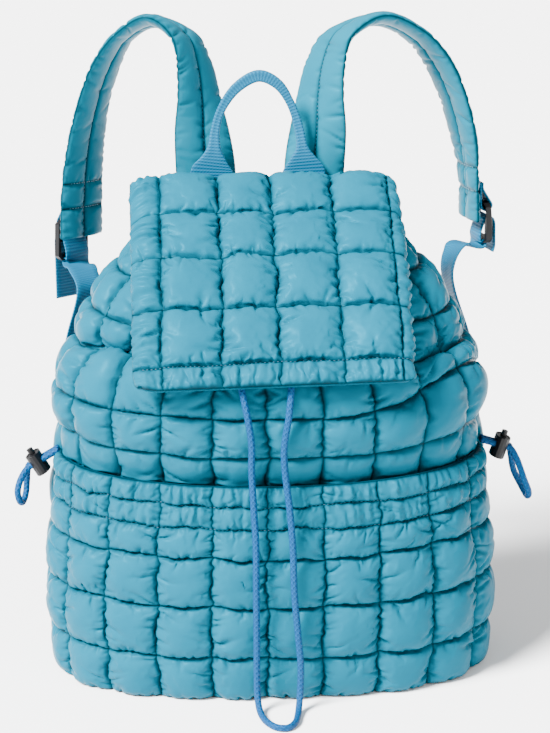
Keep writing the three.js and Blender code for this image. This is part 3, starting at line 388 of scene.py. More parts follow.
cord_material = make_cord_material()
cord_piece("drawcord_braid", DRAWCORD_ROUTE, DRAWCORD_STEPS, "drawcord")
for side_name, side in SIDES.items():
    cord_piece(f"side_cord_braid_{side_name}", side_cord_route(side_name, side), SIDE_CORD_STEPS,
               f"side_cord_{side_name}")

# Shell cloth: glossy turquoise nylon, one skin over loose filling, quilted in squares. This section
# holds the cloth's colour and sheen, the bag's plain form, and how a sewn cell swells and puckers.

COLUMNS = 20
QUARTER = COLUMNS / 4
BODY_WIDTH = 0.330
BODY_HEIGHT = 0.350
FRONT_REACH = 0.092
BACK_REACH = 0.062
WALL = 0.003
PUFF = 0.0085
GAP = 0.0003
FRONT_SEAM_SHIFT = -0.17
POCKET_TOP = 4.4
POCKET_SLACK = 0.010
SHOULDER = 0.3
EVEN_STEPS = 40
GROUND_GAP = 0.0006
SHELL_LIGHT = (0.0, 0.091, 0.14)
SHELL_DEEP = (0.0, 0.067, 0.109)
# How dark the painted seam shade is, as a share of the deep cloth colour.
SEAM_SHADE_SHARE = 0.1
SHELL_ROUGHNESS = 0.27
ROUGHNESS_SWING = 0.16
NYLON_TINT = (0.05, 0.7, 1, 1)
# How flat a pillow is between its columns and its rows, and how far the seams stray, in cells.
COLUMN_FLAT = 0.45
ROW_FLAT = 0.36
UNEVEN = 0.12
EDGE_FADE = 0.5
SEAM_SWAY = 0.042
COLUMN_ZIGZAG = 0.03
ROW_ZIGZAG = 0.014
# The folds that gathered sewing leaves along a seam, and the pleats of a hem.
FOLD_WIDTH = 0.0012
FOLD_REACH = 0.0066
FOLD_LENGTHS = [0.5, 0.8, 1.1, 2.0]
FOLD_ODDS = [0.35, 0.3, 0.23, 0.12]
FOLD_SINK = -0.0007
ROW_FOLD_REACH = 0.8 * FOLD_REACH
ROW_FOLD_DEPTH = 0.85
# How far out from a seam the painted seam shade reaches.
SEAM_SHADE_WIDTH = 0.0008
COLUMN_PITCH = 0.0041
ROW_PITCH = 0.0066
HEM_PITCH = 0.0033
PLEAT_PITCH = 0.0026
PLEAT_DEPTH = 0.5
# How the filling presses on the cloth in each of the rounds, and how firmly the cloth resists a bend.
SWELL_STEP = 0.00003
CLOTH_BEND = 0.06
ROUNDS = 8
STITCH_PROUD = 0.0002
HEM_SPAN = slice(8, -8)
hem_lines, strap_lines, end_lines = [], [], []


def table(names, *rows):
    """The columns of a table, by their names."""
    return {name: np.array([row[k] for row in rows], float) for k, name in enumerate(names)}


# The seams round the bag from the base to the mouth: heights as shares of BODY_HEIGHT at the front,
# the side and the back, then the widths and depths there as shares, and how full the row above is.
LEVELS = table(
    ["front", "side", "back", "width", "lead", "trail", "centre", "round_front", "round_back", "puff"],
    [0.003, 0.003, 0.003, 0.975, 0.85, 0.96, 0, 2.55, 3.2, 1],
    [0.103, 0.103, 0.106, 0.995, 0.93, 1, 0, 2.4, 3.3, 1],
    [0.223, 0.223, 0.223, 1, 0.97, 1, 0, 2.25, 3.3, 1],
    [0.333, 0.333, 0.338, 0.985, 0.99, 1, 0, 2.15, 3.3, 0.85],
    [0.449, 0.449, 0.451, 0.97, 0.98, 1, 0, 2.1, 3.3, 0.75],
    [0.551, 0.557, 0.566, 0.945, 0.93, 0.99, 0, 2.1, 3.2, 1],
    [0.637, 0.64, 0.663, 0.955, 0.95, 0.99, 0, 2.1, 3.1, 1],
    [0.72, 0.726, 0.749, 0.875, 0.86, 0.98, 0.06, 2.1, 3, 1],
    [0.786, 0.806, 0.829, 0.8, 0.64, 0.98, 0.16, 2.1, 2.9, 0.9],
    [0.849, 0.883, 0.911, 0.68, 0.36, 0.97, 0.32, 2.1, 2.8, 0.75],
    [0.897, 0.946, 0.98, 0.53, 0.02, 0.96, 0.46, 2, 2.7, 0],
)
TOP = len(LEVELS["front"]) - 1
DENTS = table(
    ["column", "seam", "depth", "across", "along"],
    [3.9, 7.3, 1.4, 0.7, 0.5],
    [3.1, 6, 0.55, 0.5, 0.35],
    [-3.6, 7.15, 1.5, 1.1, 0.3],
    [-4.2, 5, 0.4, 0.6, 0.3],
    [4.6, 5.1, 0.5, 0.6, 0.4],
)
SEAM_DRIFTS = table(
    ["column", "seam", "drift", "across", "along"],
    [4, 6, 0.7, 1.3, 0.62],
    [-3.2, 7, 0.4, 1.2, 0.6],
)


def smooth(t):
    """A step from nothing to one without a kink."""
    s = np.clip(t, 0, 1)
    return s * s * (3 - 2 * s)


def between(values, place):
    """A value between the rows of a table column, through four neighbours, without a kink."""
    last = len(values) - 1
    i = np.clip(np.floor(place).astype(int), 0, last - 1)
    t = place - i

    def row(k):
        return values[np.clip(k, 0, last)]

    slope_in = (row(i + 1) - row(i - 1)) / 2
    slope_out = (row(i + 2) - row(i)) / 2
    return (row(i) * (2 * t**3 - 3 * t**2 + 1) + slope_in * (t**3 - 2 * t**2 + t)
            + row(i + 1) * (3 * t**2 - 2 * t**3) + slope_out * (t**3 - t**2))


def spread(entries, key, column, seam):
    """The sum of the soft spots in a table at each place."""
    total = 0
    for k in range(len(entries[key])):
        across = (column - entries["column"][k]) / entries["across"][k]
        along = (seam - entries["seam"][k]) / entries["along"][k]
        total = total + entries[key][k] * np.exp(-across**2 - along**2)
    return total


def dents(column, seam):
    """How far the body sinks where its cloth has folded in."""
    return PUFF * spread(DENTS, "depth", column, seam)


def quarter_place(width, depth, corner, share):
    """Shares of width and depth on a quarter of a rounded outline, a share of its length along it."""
    angle = np.linspace(0, pi / 2, EVEN_STEPS + 1)

    def at(turn, power):
        aside, ahead = np.sin(turn), np.cos(turn)
        size = (aside**power + ahead**power) ** (-1 / power)
        return aside * size, ahead * size

    x, y = at(angle, corner[..., None])
    step = np.hypot(width[..., None] * np.diff(x), depth[..., None] * np.diff(y))
    length = np.concatenate([np.zeros((*step.shape[:-1], 1)), np.cumsum(step, axis=-1)], axis=-1)
    wanted = share * length[..., -1]
    k = np.clip((length[..., 1:] < wanted[..., None]).sum(axis=-1), 0, EVEN_STEPS - 1)
    low = np.take_along_axis(length, k[..., None], -1)[..., 0]
    high = np.take_along_axis(length, k[..., None] + 1, -1)[..., 0]
    return at(np.clip((k + (wanted - low) / (high - low)) / EVEN_STEPS, 0, 1) * pi / 2, corner)


def plain_form(column, level):
    """The bag without its pillows: columns counted from the front seam, seams from the base."""
    even = column - COLUMNS * np.round(column / COLUMNS)
    seam = level + spread(SEAM_DRIFTS, "drift", even, level)
    wrapped = even + FRONT_SEAM_SHIFT * np.maximum(0, 1 - (even / QUARTER) ** 2)
    side = np.where(wrapped < 0, -1, 1)
    turn = np.abs(wrapped)
    front = turn <= QUARTER
    share = np.where(front, turn, 2 * QUARTER - turn) / QUARTER
    width = BODY_WIDTH / 2 * between(LEVELS["width"], seam)
    centre = BACK_REACH * between(LEVELS["centre"], seam)
    lead = FRONT_REACH * between(LEVELS["lead"], seam) + centre
    trail = BACK_REACH * between(LEVELS["trail"], seam) - centre
    depth = np.where(front, lead, trail)
    corner = np.where(front, between(LEVELS["round_front"], seam), between(LEVELS["round_back"], seam))
    aside, ahead = quarter_place(width, depth, corner, np.clip(share, 0, 1))
    side_height = between(LEVELS["side"], seam)
    end_height = np.where(front, between(LEVELS["front"], seam), between(LEVELS["back"], seam))
    return np.stack([
        side * width * aside,
        centre + np.where(front, -depth, depth) * ahead,
        BODY_HEIGHT * (side_height + (end_height - side_height) * ahead * ahead),
    ], axis=-1)


def grid_normals(points, wrap=False):
    """Unit normals of a grid of points, to the side that its columns and then rows turn to."""
    if wrap:
        along = np.roll(points, -1, axis=1) - np.roll(points, 1, axis=1)
    else:
        along = np.gradient(points, axis=1)
    return unit(np.cross(along, np.gradient(points, axis=0)))


def cells(stops, steps):
    """Places along a row of cells, a number of steps in each, with every seam among them."""
    spans = [np.linspace(a, b, n, endpoint=False) for a, b, n in zip(stops, stops[1:], steps)]
    return np.concatenate([*spans, [stops[-1]]])


def on_stops(places, stops):
    """Which places of a line lie on a seam."""
    return np.abs(places[:, None] - np.asarray(stops)[None]).min(axis=1) < 1e-6


def pillow(place, stops, flat):
    """How full a pillow is at each place: nothing on the seams, one in the middle, and the flatter
    there the less its power is."""
    k = np.clip(np.searchsorted(stops, place, side="right") - 1, 0, len(stops) - 2)
    t = (place - stops[k]) / (stops[k + 1] - stops[k])
    return np.clip(4 * t * (1 - t), 0, 1) ** flat


def pillows(column, columns, row, rows):
    """How full the cells between these seams are at each place of a grid."""
    return pillow(column, columns, COLUMN_FLAT) * pillow(row, rows, ROW_FLAT)


def noise_field(shape, knots, seed):
    """Smooth noise between -1 and 1 on a grid, from a coarser grid of seeded random values."""
    rng = np.random.default_rng(seed)
    coarse = rng.uniform(-1, 1, knots)
    rows = np.linspace(0, knots[0] - 1, shape[0])
    columns = np.linspace(0, knots[1] - 1, shape[1])
    down = np.stack([between(coarse[:, j], rows) for j in range(knots[1])], axis=1)
    return np.stack([between(down[i], columns) for i in range(shape[0])])


def coarse_size(shape, span):
    """The size of a coarser grid, with a value for every so many points and at least four."""
    return tuple(max(4, size // span) for size in shape)


def seam_folds(points, seams, pitches, reach, seed):
    """The small folds that run away from the seams in these columns of a grid: how deep each point
    lies in one, and its distance from the nearest seam."""
    rng = np.random.default_rng(seed)
    fold = np.zeros(points.shape[:2])
    near = np.full(points.shape[:2], 1.0)
    aside = run_length(points, 1)
    for seam, pitch in zip(seams, pitches):
        along = run_length(points[:, seam], 0)
        near = np.minimum(near, np.abs(aside - aside[:, [seam]]))
        place = pitch * rng.uniform(0.2, 1)
        while place < along[-1]:
            width = FOLD_WIDTH * rng.uniform(0.7, 1.4)
            length = reach * rng.choice(FOLD_LENGTHS, p=FOLD_ODDS)
            slant, depth, side = rng.uniform(-0.6, 0.6), rng.uniform(0.35, 1), rng.integers(-1, 2)
            low, high = np.searchsorted(along, (place - 3 * width - length, place + 3 * width + length))
            line = aside[np.searchsorted(along, place)]
            start, end = np.searchsorted(line, line[seam] + np.array([-2, 2]) * length)
            away = aside[low:high, start:end] - aside[low:high, [seam]]
            off = along[low:high, None] - place - slant * np.abs(away)
            off = off / (width * (0.7 + np.abs(away) / length))
            one = depth * np.exp(-np.abs(off) ** 1.2 - (away / length) ** 2)
            one = one * np.where(side * away < 0, 0.3, 1)
            fold[low:high, start:end] = np.maximum(fold[low:high, start:end], one)
            place += pitch * rng.uniform(0.55, 1.5)
    return fold, near


def wander(places, edge, zigzag, seed):
    """Draws seams a little off their lines, as gathered sewing does, and less so near an edge."""
    slow = noise_field(places.shape, coarse_size(places.shape, 14), seed)
    quick = noise_field(places.shape, coarse_size(places.shape, 3), seed + 1)
    return places + (SEAM_SWAY * slow + zigzag * quick) * edge


def pleats(shape, length, seed):
    """How full a gathered hem of this length is along its rows, as close pleats across it."""
    return 1 + PLEAT_DEPTH * noise_field(shape, (4, int(length / PLEAT_PITCH)), seed)


def quilt(plain, dome, held, columns, rows, column_pitches, row_pitches, seed):
    """Sewn padding over a plain form: pillows that are full between the seams, gathered into small
    folds along them. columns and rows are the seams' places in the grid. It gives the skin and how
    much painted shade darkens each point, down a seam or in a fold beside one."""
    across, from_column = seam_folds(plain, columns, column_pitches, FOLD_REACH, seed)
    down, from_row = seam_folds(plain.swapaxes(0, 1), rows, row_pitches, ROW_FOLD_REACH, seed + 1)
    fold = np.maximum(across, ROW_FOLD_DEPTH * down.T)
    from_seam = np.minimum(from_column, from_row.T)
    swing = noise_field(dome.shape, coarse_size(dome.shape, 16), seed + 2)
    raised = dome * (1 + UNEVEN * swing) * (1 - fold) + FOLD_SINK * fold * (dome > 0)
    skin = settle(plain + grid_normals(plain) * raised[..., None], held, ROUNDS)
    # Painted shade: dark down each seam, and half as dark in the folds near it.
    seam_shade = np.exp(-from_seam / SEAM_SHADE_WIDTH) + 0.5 * fold * np.exp(-from_seam / FOLD_REACH)
    return skin, np.clip(seam_shade, 0, 1)


def stitch_line(skin, row, span):
    """A line for stitches along a span of one row of a grid, just proud of the cloth."""
    return (skin + grid_normals(skin) * STITCH_PROUD)[row, span]


def settle(points, held, rounds):
    """Cloth that keeps its lengths, pressed outwards by the filling and held along its seams."""
    points = points.copy()
    rows, columns = held.shape
    loose = np.where(held, 0.0, 1.0)
    across = np.linalg.norm(np.diff(points, axis=1), axis=-1)
    down = np.linalg.norm(np.diff(points, axis=0), axis=-1)
    wide = across[:, 1:] + across[:, :-1]
    tall = down[1:] + down[:-1]

    def tie(a, b, length, firm):
        gap = points[b] - points[a]
        size = np.sqrt(np.einsum("ijk,ijk->ij", gap, gap)) + 1e-9
        weight = loose[a] + loose[b]
        share = (firm * (size - length) / size / np.maximum(weight, 1e-9))[..., None] * gap
        points[a] += loose[a][..., None] * share
        points[b] -= loose[b][..., None] * share

    def pairs(part, reach, count):
        """The first and the second of each pair of lines this far apart, for one part of the grid."""
        return slice(part, count - reach, 2 * reach), slice(part + reach, count, 2 * reach)

    whole = slice(None)
    for _ in range(rounds):
        points += (grid_normals(points) * loose[..., None]) * SWELL_STEP
        for reach, aside, below, firm in ((1, across, down, 1.0), (2, wide, tall, CLOTH_BEND)):
            for part in range(2 * reach):
                first, second = pairs(part, reach, columns)
                tie((whole, first), (whole, second), aside[:, part::2 * reach], firm)
                first, second = pairs(part, reach, rows)
                tie((first, whole), (second, whole), below[part::2 * reach], firm)
    return points


def zip_rims(a, b):
    """Triangles between two lines of points that may have different counts."""
    faces = []
    i = j = 0
    while i < len(a) - 1 or j < len(b) - 1:
        if j == len(b) - 1 or (i < len(a) - 1 and (i + 1) * (len(b) - 1) <= (j + 1) * (len(a) - 1)):
            faces.append((a[i], a[i + 1], b[j]))
            i += 1
        else:
            faces.append((a[i], b[j + 1], b[j]))
            j += 1
    return faces


def sheet_faces(rows, columns, start, wrap):
    """The numbers of a grid's points, counted on from a start, and its faces."""
    index = start + np.arange(rows * columns).reshape(rows, columns)
    right = np.roll(index, -1, axis=1) if wrap else index[:, 1:]
    left = index if wrap else index[:, :-1]
    faces = np.stack([left[:-1], right[:-1], right[1:], left[1:]], axis=-1).reshape(-1, 4)
    return index, [tuple(f) for f in faces]


def finish_padded(piece, material, cad):
    """Finishes a piece of cloth with filling in it."""
    finish(piece, material, cad)


def quilted_wall(name, cad, outer, inner, outer_places, inner_places, seam_shade, wrap=False):
    """A closed wall of shell cloth from an outer and an inner grid, joined round its open edges."""
    a, faces = sheet_faces(*outer.shape[:2], 0, wrap)
    b, backs = sheet_faces(*inner.shape[:2], a.size, wrap)
    faces += [f[::-1] for f in backs]

    def ring(line):
        return [*line, line[0]] if wrap else list(line)

    faces += zip_rims(ring(b[0]), ring(a[0]))
    faces += zip_rims(ring(a[-1]), ring(b[-1]))
    if not wrap:
        faces += zip_rims(list(a[:, 0]), list(b[:, 0]))
        faces += zip_rims(list(b[:, -1]), list(a[:, -1]))
    points = np.vstack([outer.reshape(-1, 3), inner.reshape(-1, 3)])
    uv = np.vstack([np.stack(pair, axis=-1).reshape(-1, 2) for pair in (outer_places, inner_places)])
    # The lining gets no painted seam shade.
    seam_shades = np.concatenate([seam_shade.ravel(), np.zeros(len(points) - seam_shade.size)])
    piece = new_piece(name, points, faces, uv, seam_shades)
    face_out(piece)
    finish_padded(piece, shell_material, cad)


def new_group(name, inputs, outputs):
    """A shader node group with named sockets, and what it is given."""
    tree = bpy.data.node_groups.new(name, "ShaderNodeTree")
    for in_out, sockets in (("INPUT", inputs), ("OUTPUT", outputs)):
        for socket, kind in sockets.items():
            tree.interface.new_socket(socket, in_out=in_out, socket_type=f"NodeSocket{kind}")
    return tree, node(tree, "NodeGroupInput").outputs


def speckle(tree, scale, detail):
    """Noise fixed to the piece."""
    place = node(tree, "ShaderNodeTexCoord").outputs["Object"]
    noise = node(tree, "ShaderNodeTexNoise", {"Vector": place, "Scale": scale, "Detail": detail})
    return noise.outputs["Fac"]


def make_nylon_group():
    """Nylon over filling: faint mottling, a fine crumple, and painted shade down in the seams and folds.
    """
    tree, given = new_group(
        "nylon",
        {"Light": "Color", "Deep": "Color", "Seam": "Color", "Shade Depth": "Float",
         "Least Roughness": "Float"},
        {"Colour": "Color", "Roughness": "Float", "Height": "Float"})
    cloth = mixed(tree, speckle(tree, scale=42.0, detail=3.0), given["Deep"], given["Light"])
    crumple = speckle(tree, scale=260.0, detail=4.0)
    node(tree, "NodeGroupOutput", {
        # The cloth's colour darkens to the painted seam shade where the mesh marks a seam or a fold.
        "Colour": mixed(tree, given["Shade Depth"], cloth, given["Seam"]),
        "Roughness": maths(tree, "MULTIPLY_ADD", crumple, ROUGHNESS_SWING, given["Least Roughness"]),
        "Height": crumple,
    })
    return tree


def make_nylon(name, light, deep, least_roughness):
    material, tree, shader = new_material(name)
    look = node(tree, "ShaderNodeGroup", {
        "Light": (*light, 1),
        "Deep": (*deep, 1),
        # Painted seam shade: a dark share of the deep cloth colour, as deep as each vertex says.
        "Seam": (*(SEAM_SHADE_SHARE * c for c in deep), 1),
        "Shade Depth": node(tree, "ShaderNodeAttribute", attribute_name="seam_shade").outputs["Fac"],
        "Least Roughness": least_roughness,
    }, node_tree=nylon_group).outputs
    surface(tree, shader, look["Colour"], look["Height"], strength=0.25, distance=0.0006)
    tree.links.new(look["Roughness"], shader.inputs["Roughness"])
    shader.inputs["IOR"].default_value = 1.16
    shader.inputs["Specular IOR Level"].default_value = 0.4
    shader.inputs["Specular Tint"].default_value = NYLON_TINT
    return material


nylon_group = make_nylon_group()
shell_material = make_nylon("shell_nylon", SHELL_LIGHT, SHELL_DEEP, SHELL_ROUGHNESS)

# Body: the quilted tub from the base to the gathered mouth, sewn in twenty columns and ten rows and
# lined inside. It stands back behind the front pocket, and the cloth round its mouth is pressed low.

BODY_COLUMN_STEPS = 22
BODY_ROW_STEPS = [14, 14, 15, 15, 22, 25, 25, 25, 22, 16]
BODY_ROW_PITCHES = [*[ROW_PITCH] * 5, *[HEM_PITCH] * 3, *[ROW_PITCH] * 3]
LINING_ROWS = 24
# Where the flap, and the straps at the back, press the cloth low, in seams and columns.
PRESSED_SEAM = 6.9
FLAP_PRESS_COLUMN = 3
FLAP_PRESS = 0.65
BACK_PRESS_COLUMN = 6.5
BACK_PRESS = 0.6


def pocket_inset(column, seam):
    """How far the body stands back behind the front pocket."""
    edge = 1 - smooth((np.abs(column) - QUARTER) / SHOULDER)
    head = 1 - smooth((seam - POCKET_TOP) / (np.ceil(POCKET_TOP) - POCKET_TOP))
    width = np.sqrt(np.maximum(0, np.cos(pi / 2 * np.clip(column / QUARTER, -1, 1))))
    hollow = POCKET_SLACK * width * np.sqrt(np.clip(seam / POCKET_TOP, 0, 1))
    return (WALL + GAP + np.where(np.abs(column) < QUARTER, hollow, 0)) * edge * head


def make_body():
    seams = np.arange(TOP + 1.0)
    column_seams = np.arange(-COLUMNS / 2, COLUMNS / 2 + 1)
    column, seam = np.meshgrid(
        cells(column_seams, [BODY_COLUMN_STEPS] * COLUMNS), cells(seams, BODY_ROW_STEPS))
    behind = (np.abs(column) <= QUARTER) & (seam <= POCKET_TOP)
    edge = smooth(seam / EDGE_FADE) * smooth((TOP - seam) / EDGE_FADE)
    edge = edge * smooth((COLUMNS / 2 - np.abs(column)) / EDGE_FADE) * np.where(behind, 0, 1)
    plain = plain_form(wander(column, edge, COLUMN_ZIGZAG, 21), wander(seam, edge, ROW_ZIGZAG, 23))
    out = grid_normals(plain)
    out[:, 0] = out[:, -1] = unit(out[:, 0] + out[:, -1])
    inward = pocket_inset(column, seam) + dents(column, seam)
    high = smooth(seam - PRESSED_SEAM)
    full = LEVELS["puff"][np.clip(np.floor(seam).astype(int), 0, TOP - 1)] * np.where(behind, 0, 1)
    full = full * (1 - FLAP_PRESS * high * smooth(FLAP_PRESS_COLUMN - np.abs(column)))
    full = full * (1 - BACK_PRESS * high * smooth(np.abs(column) - BACK_PRESS_COLUMN))
    dome = PUFF * full * pillows(column, column_seams, seam, seams)
    on_column, on_row = on_stops(column[0], column_seams), on_stops(seam[:, 0], seams)
    held = on_column[None] | on_row[:, None] | behind
    skin, seam_shade = quilt(
        plain - out * inward[..., None], dome, held, np.flatnonzero(on_column), np.flatnonzero(on_row),
        [COLUMN_PITCH] * len(column_seams), BODY_ROW_PITCHES, 11)
    skin[..., 2] = np.maximum(skin[..., 2], GROUND_GAP)
    lining_column, lining_seam = np.meshgrid(
        cells(column_seams, [BODY_COLUMN_STEPS // 2] * COLUMNS)[:-1], np.linspace(0, TOP, LINING_ROWS))
    lining = plain_form(lining_column, lining_seam)
    inward = WALL + pocket_inset(lining_column, lining_seam) + dents(lining_column, lining_seam)
    lining = lining - grid_normals(lining, wrap=True) * inward[..., None]
    quilted_wall("body_quilt", "body", skin[:, :-1], lining, (column[:, :-1], seam[:, :-1]),
                 (lining_column, lining_seam), seam_shade[:, :-1], wrap=True)


make_body()

# Front pocket: a quilted panel sewn to the bag at the sides and the base. Over its third row run a
# short row, the tunnel of the side cords between two stitch lines, and the gathered hem.

POCKET_SEAMS = [0, 1, 2, 3, 3.58, 4, POCKET_TOP]
POCKET_FULL = [1, 1, 1, 0.8, 0.55, 0.6]
POCKET_ROW_PITCHES = [*[ROW_PITCH] * 4, *[HEM_PITCH] * 3]
POCKET_ROW_STEPS = [36, 40, 38, 24, 18, 16]
POCKET_COLUMNS = int(2 * QUARTER)
POCKET_COLUMN_STEPS = 40
POCKET_LINING_STEPS = 6
POCKET_HEM_ROW = 4
POCKET_HEM_FADE = 0.3


def row_values(place, stops, values):
    """The value of the row or column that each place lies in."""
    row = np.searchsorted(stops, place, side="right") - 1
    return np.array(values, float)[np.clip(row, 0, len(values) - 1)]


def make_pocket():
    column_seams, seams = np.arange(-QUARTER, QUARTER + 1), np.array(POCKET_SEAMS)
    column, seam = np.meshgrid(
        cells(column_seams, [POCKET_COLUMN_STEPS] * POCKET_COLUMNS), cells(seams, POCKET_ROW_STEPS))
    edge = smooth((QUARTER - np.abs(column)) / EDGE_FADE) * smooth(seam / EDGE_FADE)
    edge = edge * smooth((POCKET_TOP - seam) / POCKET_HEM_FADE)
    plain = plain_form(wander(column, edge, COLUMN_ZIGZAG, 31), wander(seam, edge, ROW_ZIGZAG, 33))
    dome = PUFF * row_values(seam, seams, POCKET_FULL) * pillows(column, column_seams, seam, seams)
    pleated = pleats(dome.shape, run_length(plain, 1)[0, -1], 45)
    dome = dome * np.where(seam > POCKET_SEAMS[POCKET_HEM_ROW], pleated, 1)
    on_column, on_row = on_stops(column[0], column_seams), on_stops(seam[:, 0], seams)
    rows = np.flatnonzero(on_row)
    skin, seam_shade = quilt(
        plain, dome, on_column[None] | on_row[:, None], np.flatnonzero(on_column), rows,
        [COLUMN_PITCH] * len(column_seams), POCKET_ROW_PITCHES, 41)
    hem_lines.extend(stitch_line(skin, row, HEM_SPAN) for row in rows[POCKET_HEM_ROW:-1])
    skin[..., 2] = np.maximum(skin[..., 2], GROUND_GAP)
    lining_places = np.meshgrid(
        cells(column_seams, [POCKET_LINING_STEPS] * POCKET_COLUMNS),
        cells(seams, [POCKET_LINING_STEPS] * (len(seams) - 1)))
    lining = plain_form(*lining_places)
    quilted_wall("pocket_quilt", "front_pocket", skin, lining - grid_normals(lining) * WALL,
                 (column, seam), lining_places, seam_shade)


make_pocket()

# Mouth hem: the casing of the drawcord. The shell cloth is folded over and sewn down round the
# mouth, and the cord draws it up into close pleats.

CASING_THICKNESS = 0.0054
CASING_HEIGHT = 0.013
CASING_PLEAT = 0.0014
CASING_LIFT = 0.00095
CASING_PLEATS = 80
CASING_STEPS = 8
CASING_FILL = 0.92
CASING_RIPPLE = 0.3
CASING_RIM_STEP = 0.3
CASING_PROFILE = [
    (-0.5, 0), (-0.2, -0.03), (0.2, -0.03), (0.5, 0), (0.68, 0.25), (0.75, 0.5), (0.66, 0.78),
    (0.45, 0.97), (0.15, 1.03), (-0.15, 1.03), (-0.45, 0.97), (-0.62, 0.75), (-0.7, 0.5), (-0.62, 0.22),
]


def make_casing():
    count = CASING_PLEATS * CASING_STEPS
    column = np.linspace(-COLUMNS / 2, COLUMNS / 2, count, endpoint=False)[None, :]
    strip = TOP - CASING_RIM_STEP * np.repeat([[2], [1], [0]], count, axis=1)
    across = np.repeat(column, 3, axis=0)
    plain = plain_form(across, strip)
    out = grid_normals(plain, wrap=True)
    skin = plain - out * (WALL / 2 + dents(across, strip))[..., None]
    foot, out = skin[2], out[2]
    up = unit(skin[2] - skin[1])
    rng = np.random.default_rng(5)
    phase = np.cumsum(np.repeat(rng.uniform(0.7, 1.3, CASING_PLEATS), CASING_STEPS)) / CASING_STEPS
    fold = CASING_PLEAT * np.cos(2 * pi * phase * CASING_PLEATS / phase[-1])
    rings = np.stack([
        foot + up * (CASING_LIFT + CASING_HEIGHT * rise + CASING_RIPPLE * fold * (rise > 0.4))[..., None]
        + out * (CASING_FILL * CASING_THICKNESS * aside
                 + fold * np.sign(aside) * (1 - abs(2 * rise - 1)))[..., None]
        for aside, rise in CASING_PROFILE
    ])
    size = len(CASING_PROFILE)
    index = np.arange(size * count).reshape(size, count)
    right, over = np.roll(index, -1, axis=1), np.roll(index, -1, axis=0)
    faces = np.stack([index, right, np.roll(over, -1, axis=1), over], axis=-1).reshape(-1, 4)
    uv = np.stack(np.broadcast_arrays(column, np.arange(size)[:, None] / size), axis=-1)
    piece = new_piece("mouth_hem", rings.reshape(-1, 3), faces, uv.reshape(-1, 2))
    face_out(piece)
    finish_padded(piece, shell_material, "mouth_casing")


make_casing()

# Flap: one quilted leaf sewn to the back wall, folded over the mouth, with a puckered band down each
# side and a stitched hem. Its right band has rolled under itself.

FLAP_WIDTH = 0.200
FLAP_SHIFT = -0.0035
FLAP_SKEW = 0.005
FLAP_CREST = 0.021
FLAP_RISE = BODY_HEIGHT + FLAP_CREST
FLAP_FALL = 0.117
FLAP_STANDOFF = 0.011
FLAP_FORWARD = FRONT_REACH + FLAP_STANDOFF
FLAP_PUFF = 0.009
FLAP_ROLL_LEFT = radians(30)
FLAP_ROLL_RIGHT = radians(115)
FLAP_ROLL_LENGTH = 0.008
FLAP_CORNER = 0.010
FLAP_DROOP = 0.009
FLAP_CREST_ROW = 2.6
FLAP_TAIL_ROW = 2
FLAP_ROWS = table(
    ["forward", "drop", "puff"],
    [-1, 0.42, 0], [-1, 0.17, 0], [-0.76, 0.02, 1], [-0.2, 0.185, 1],
    [0.23, 0.376, 1], [0.57, 0.625, 1], [0.87, 0.895, 0.7], [1, 1, 0],
)
FLAP_COLUMNS = np.array([0, 0.112, 0.324, 0.529, 0.757, 0.965, 1])
FLAP_END_ROW = len(FLAP_ROWS["drop"]) - 1
FLAP_END_COLUMN = len(FLAP_COLUMNS) - 1
FLAP_BANDS = [0.7, 1, 1, 1, 1, 0.35]
FLAP_COLUMN_STEPS = [22, 40, 40, 42, 40, 14]
FLAP_ROW_STEPS = [6, 18, 40, 40, 40, 40, 16]
FLAP_LINING_STEPS = 6
FLAP_SLOPE_STEP = 0.05
BAND_PITCH = 0.0038
FLAP_COLUMN_PITCHES = [COLUMN_PITCH, BAND_PITCH, *[COLUMN_PITCH] * (FLAP_END_COLUMN - 1)]
FLAP_ROW_PITCHES = [*[ROW_PITCH] * (FLAP_END_ROW - 1), HEM_PITCH, HEM_PITCH]
TAIL_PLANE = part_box("flap")[1].y


def flap_plain(across, down):
    """The flap without its pillows or its turned bands, in its own columns and rows."""
    forward = between(FLAP_ROWS["forward"], down)
    share = between(FLAP_COLUMNS, across)
    depth = np.minimum(TAIL_PLANE, np.where(forward < 0, -forward * TAIL_PLANE, -forward * FLAP_FORWARD))
    hanging = smooth((down - FLAP_TAIL_ROW) / (FLAP_END_ROW - FLAP_TAIL_ROW))
    drop = FLAP_FALL * between(FLAP_ROWS["drop"], down) + FLAP_SKEW * hanging * (0.5 - share)
    return np.stack([FLAP_SHIFT + FLAP_WIDTH * (share - 0.5), depth, FLAP_RISE - drop], axis=-1)


def flap_form(across, down, offset):
    """The flap's cloth at an offset from its seams' surface, with its side bands turned down."""
    seam = np.clip(across, 1, FLAP_END_COLUMN - 1)
    along = (flap_plain(seam, np.minimum(FLAP_END_ROW, down + FLAP_SLOPE_STEP))
             - flap_plain(seam, np.maximum(0, down - FLAP_SLOPE_STEP)))
    out = unit(-np.cross((1, 0, 0), along))
    side, rest = np.sign(across - seam), np.abs(across - seam)
    right = side > 0
    slack = smooth((down - FLAP_TAIL_ROW) / 2)
    flat = FLAP_WIDTH * np.where(right, 1 - FLAP_COLUMNS[FLAP_END_COLUMN - 1], FLAP_COLUMNS[1])
    length = rest * (flat + np.where(right, FLAP_ROLL_LENGTH * slack, 0))
    turn = np.maximum(1e-6, rest * slack * np.where(right, FLAP_ROLL_RIGHT, FLAP_ROLL_LEFT))
    lift = offset * np.cos(turn) - length * (1 - np.cos(turn)) / turn
    corner = FLAP_CORNER * np.maximum(0, down - FLAP_END_ROW + 1) ** 2 * rest**2
    droop = FLAP_DROOP * rest**2 * np.exp(-(down - FLAP_CREST_ROW) ** 2)
    point = flap_plain(seam, down) + out * lift[..., None]
    point[..., 0] += side * (length * np.sin(turn) / turn + offset * np.sin(turn))
    point[..., 0] += np.where(side < 0, corner / 2, 0)
    point[..., 2] += np.where(side < 0, corner / 2, corner) - droop
    return point


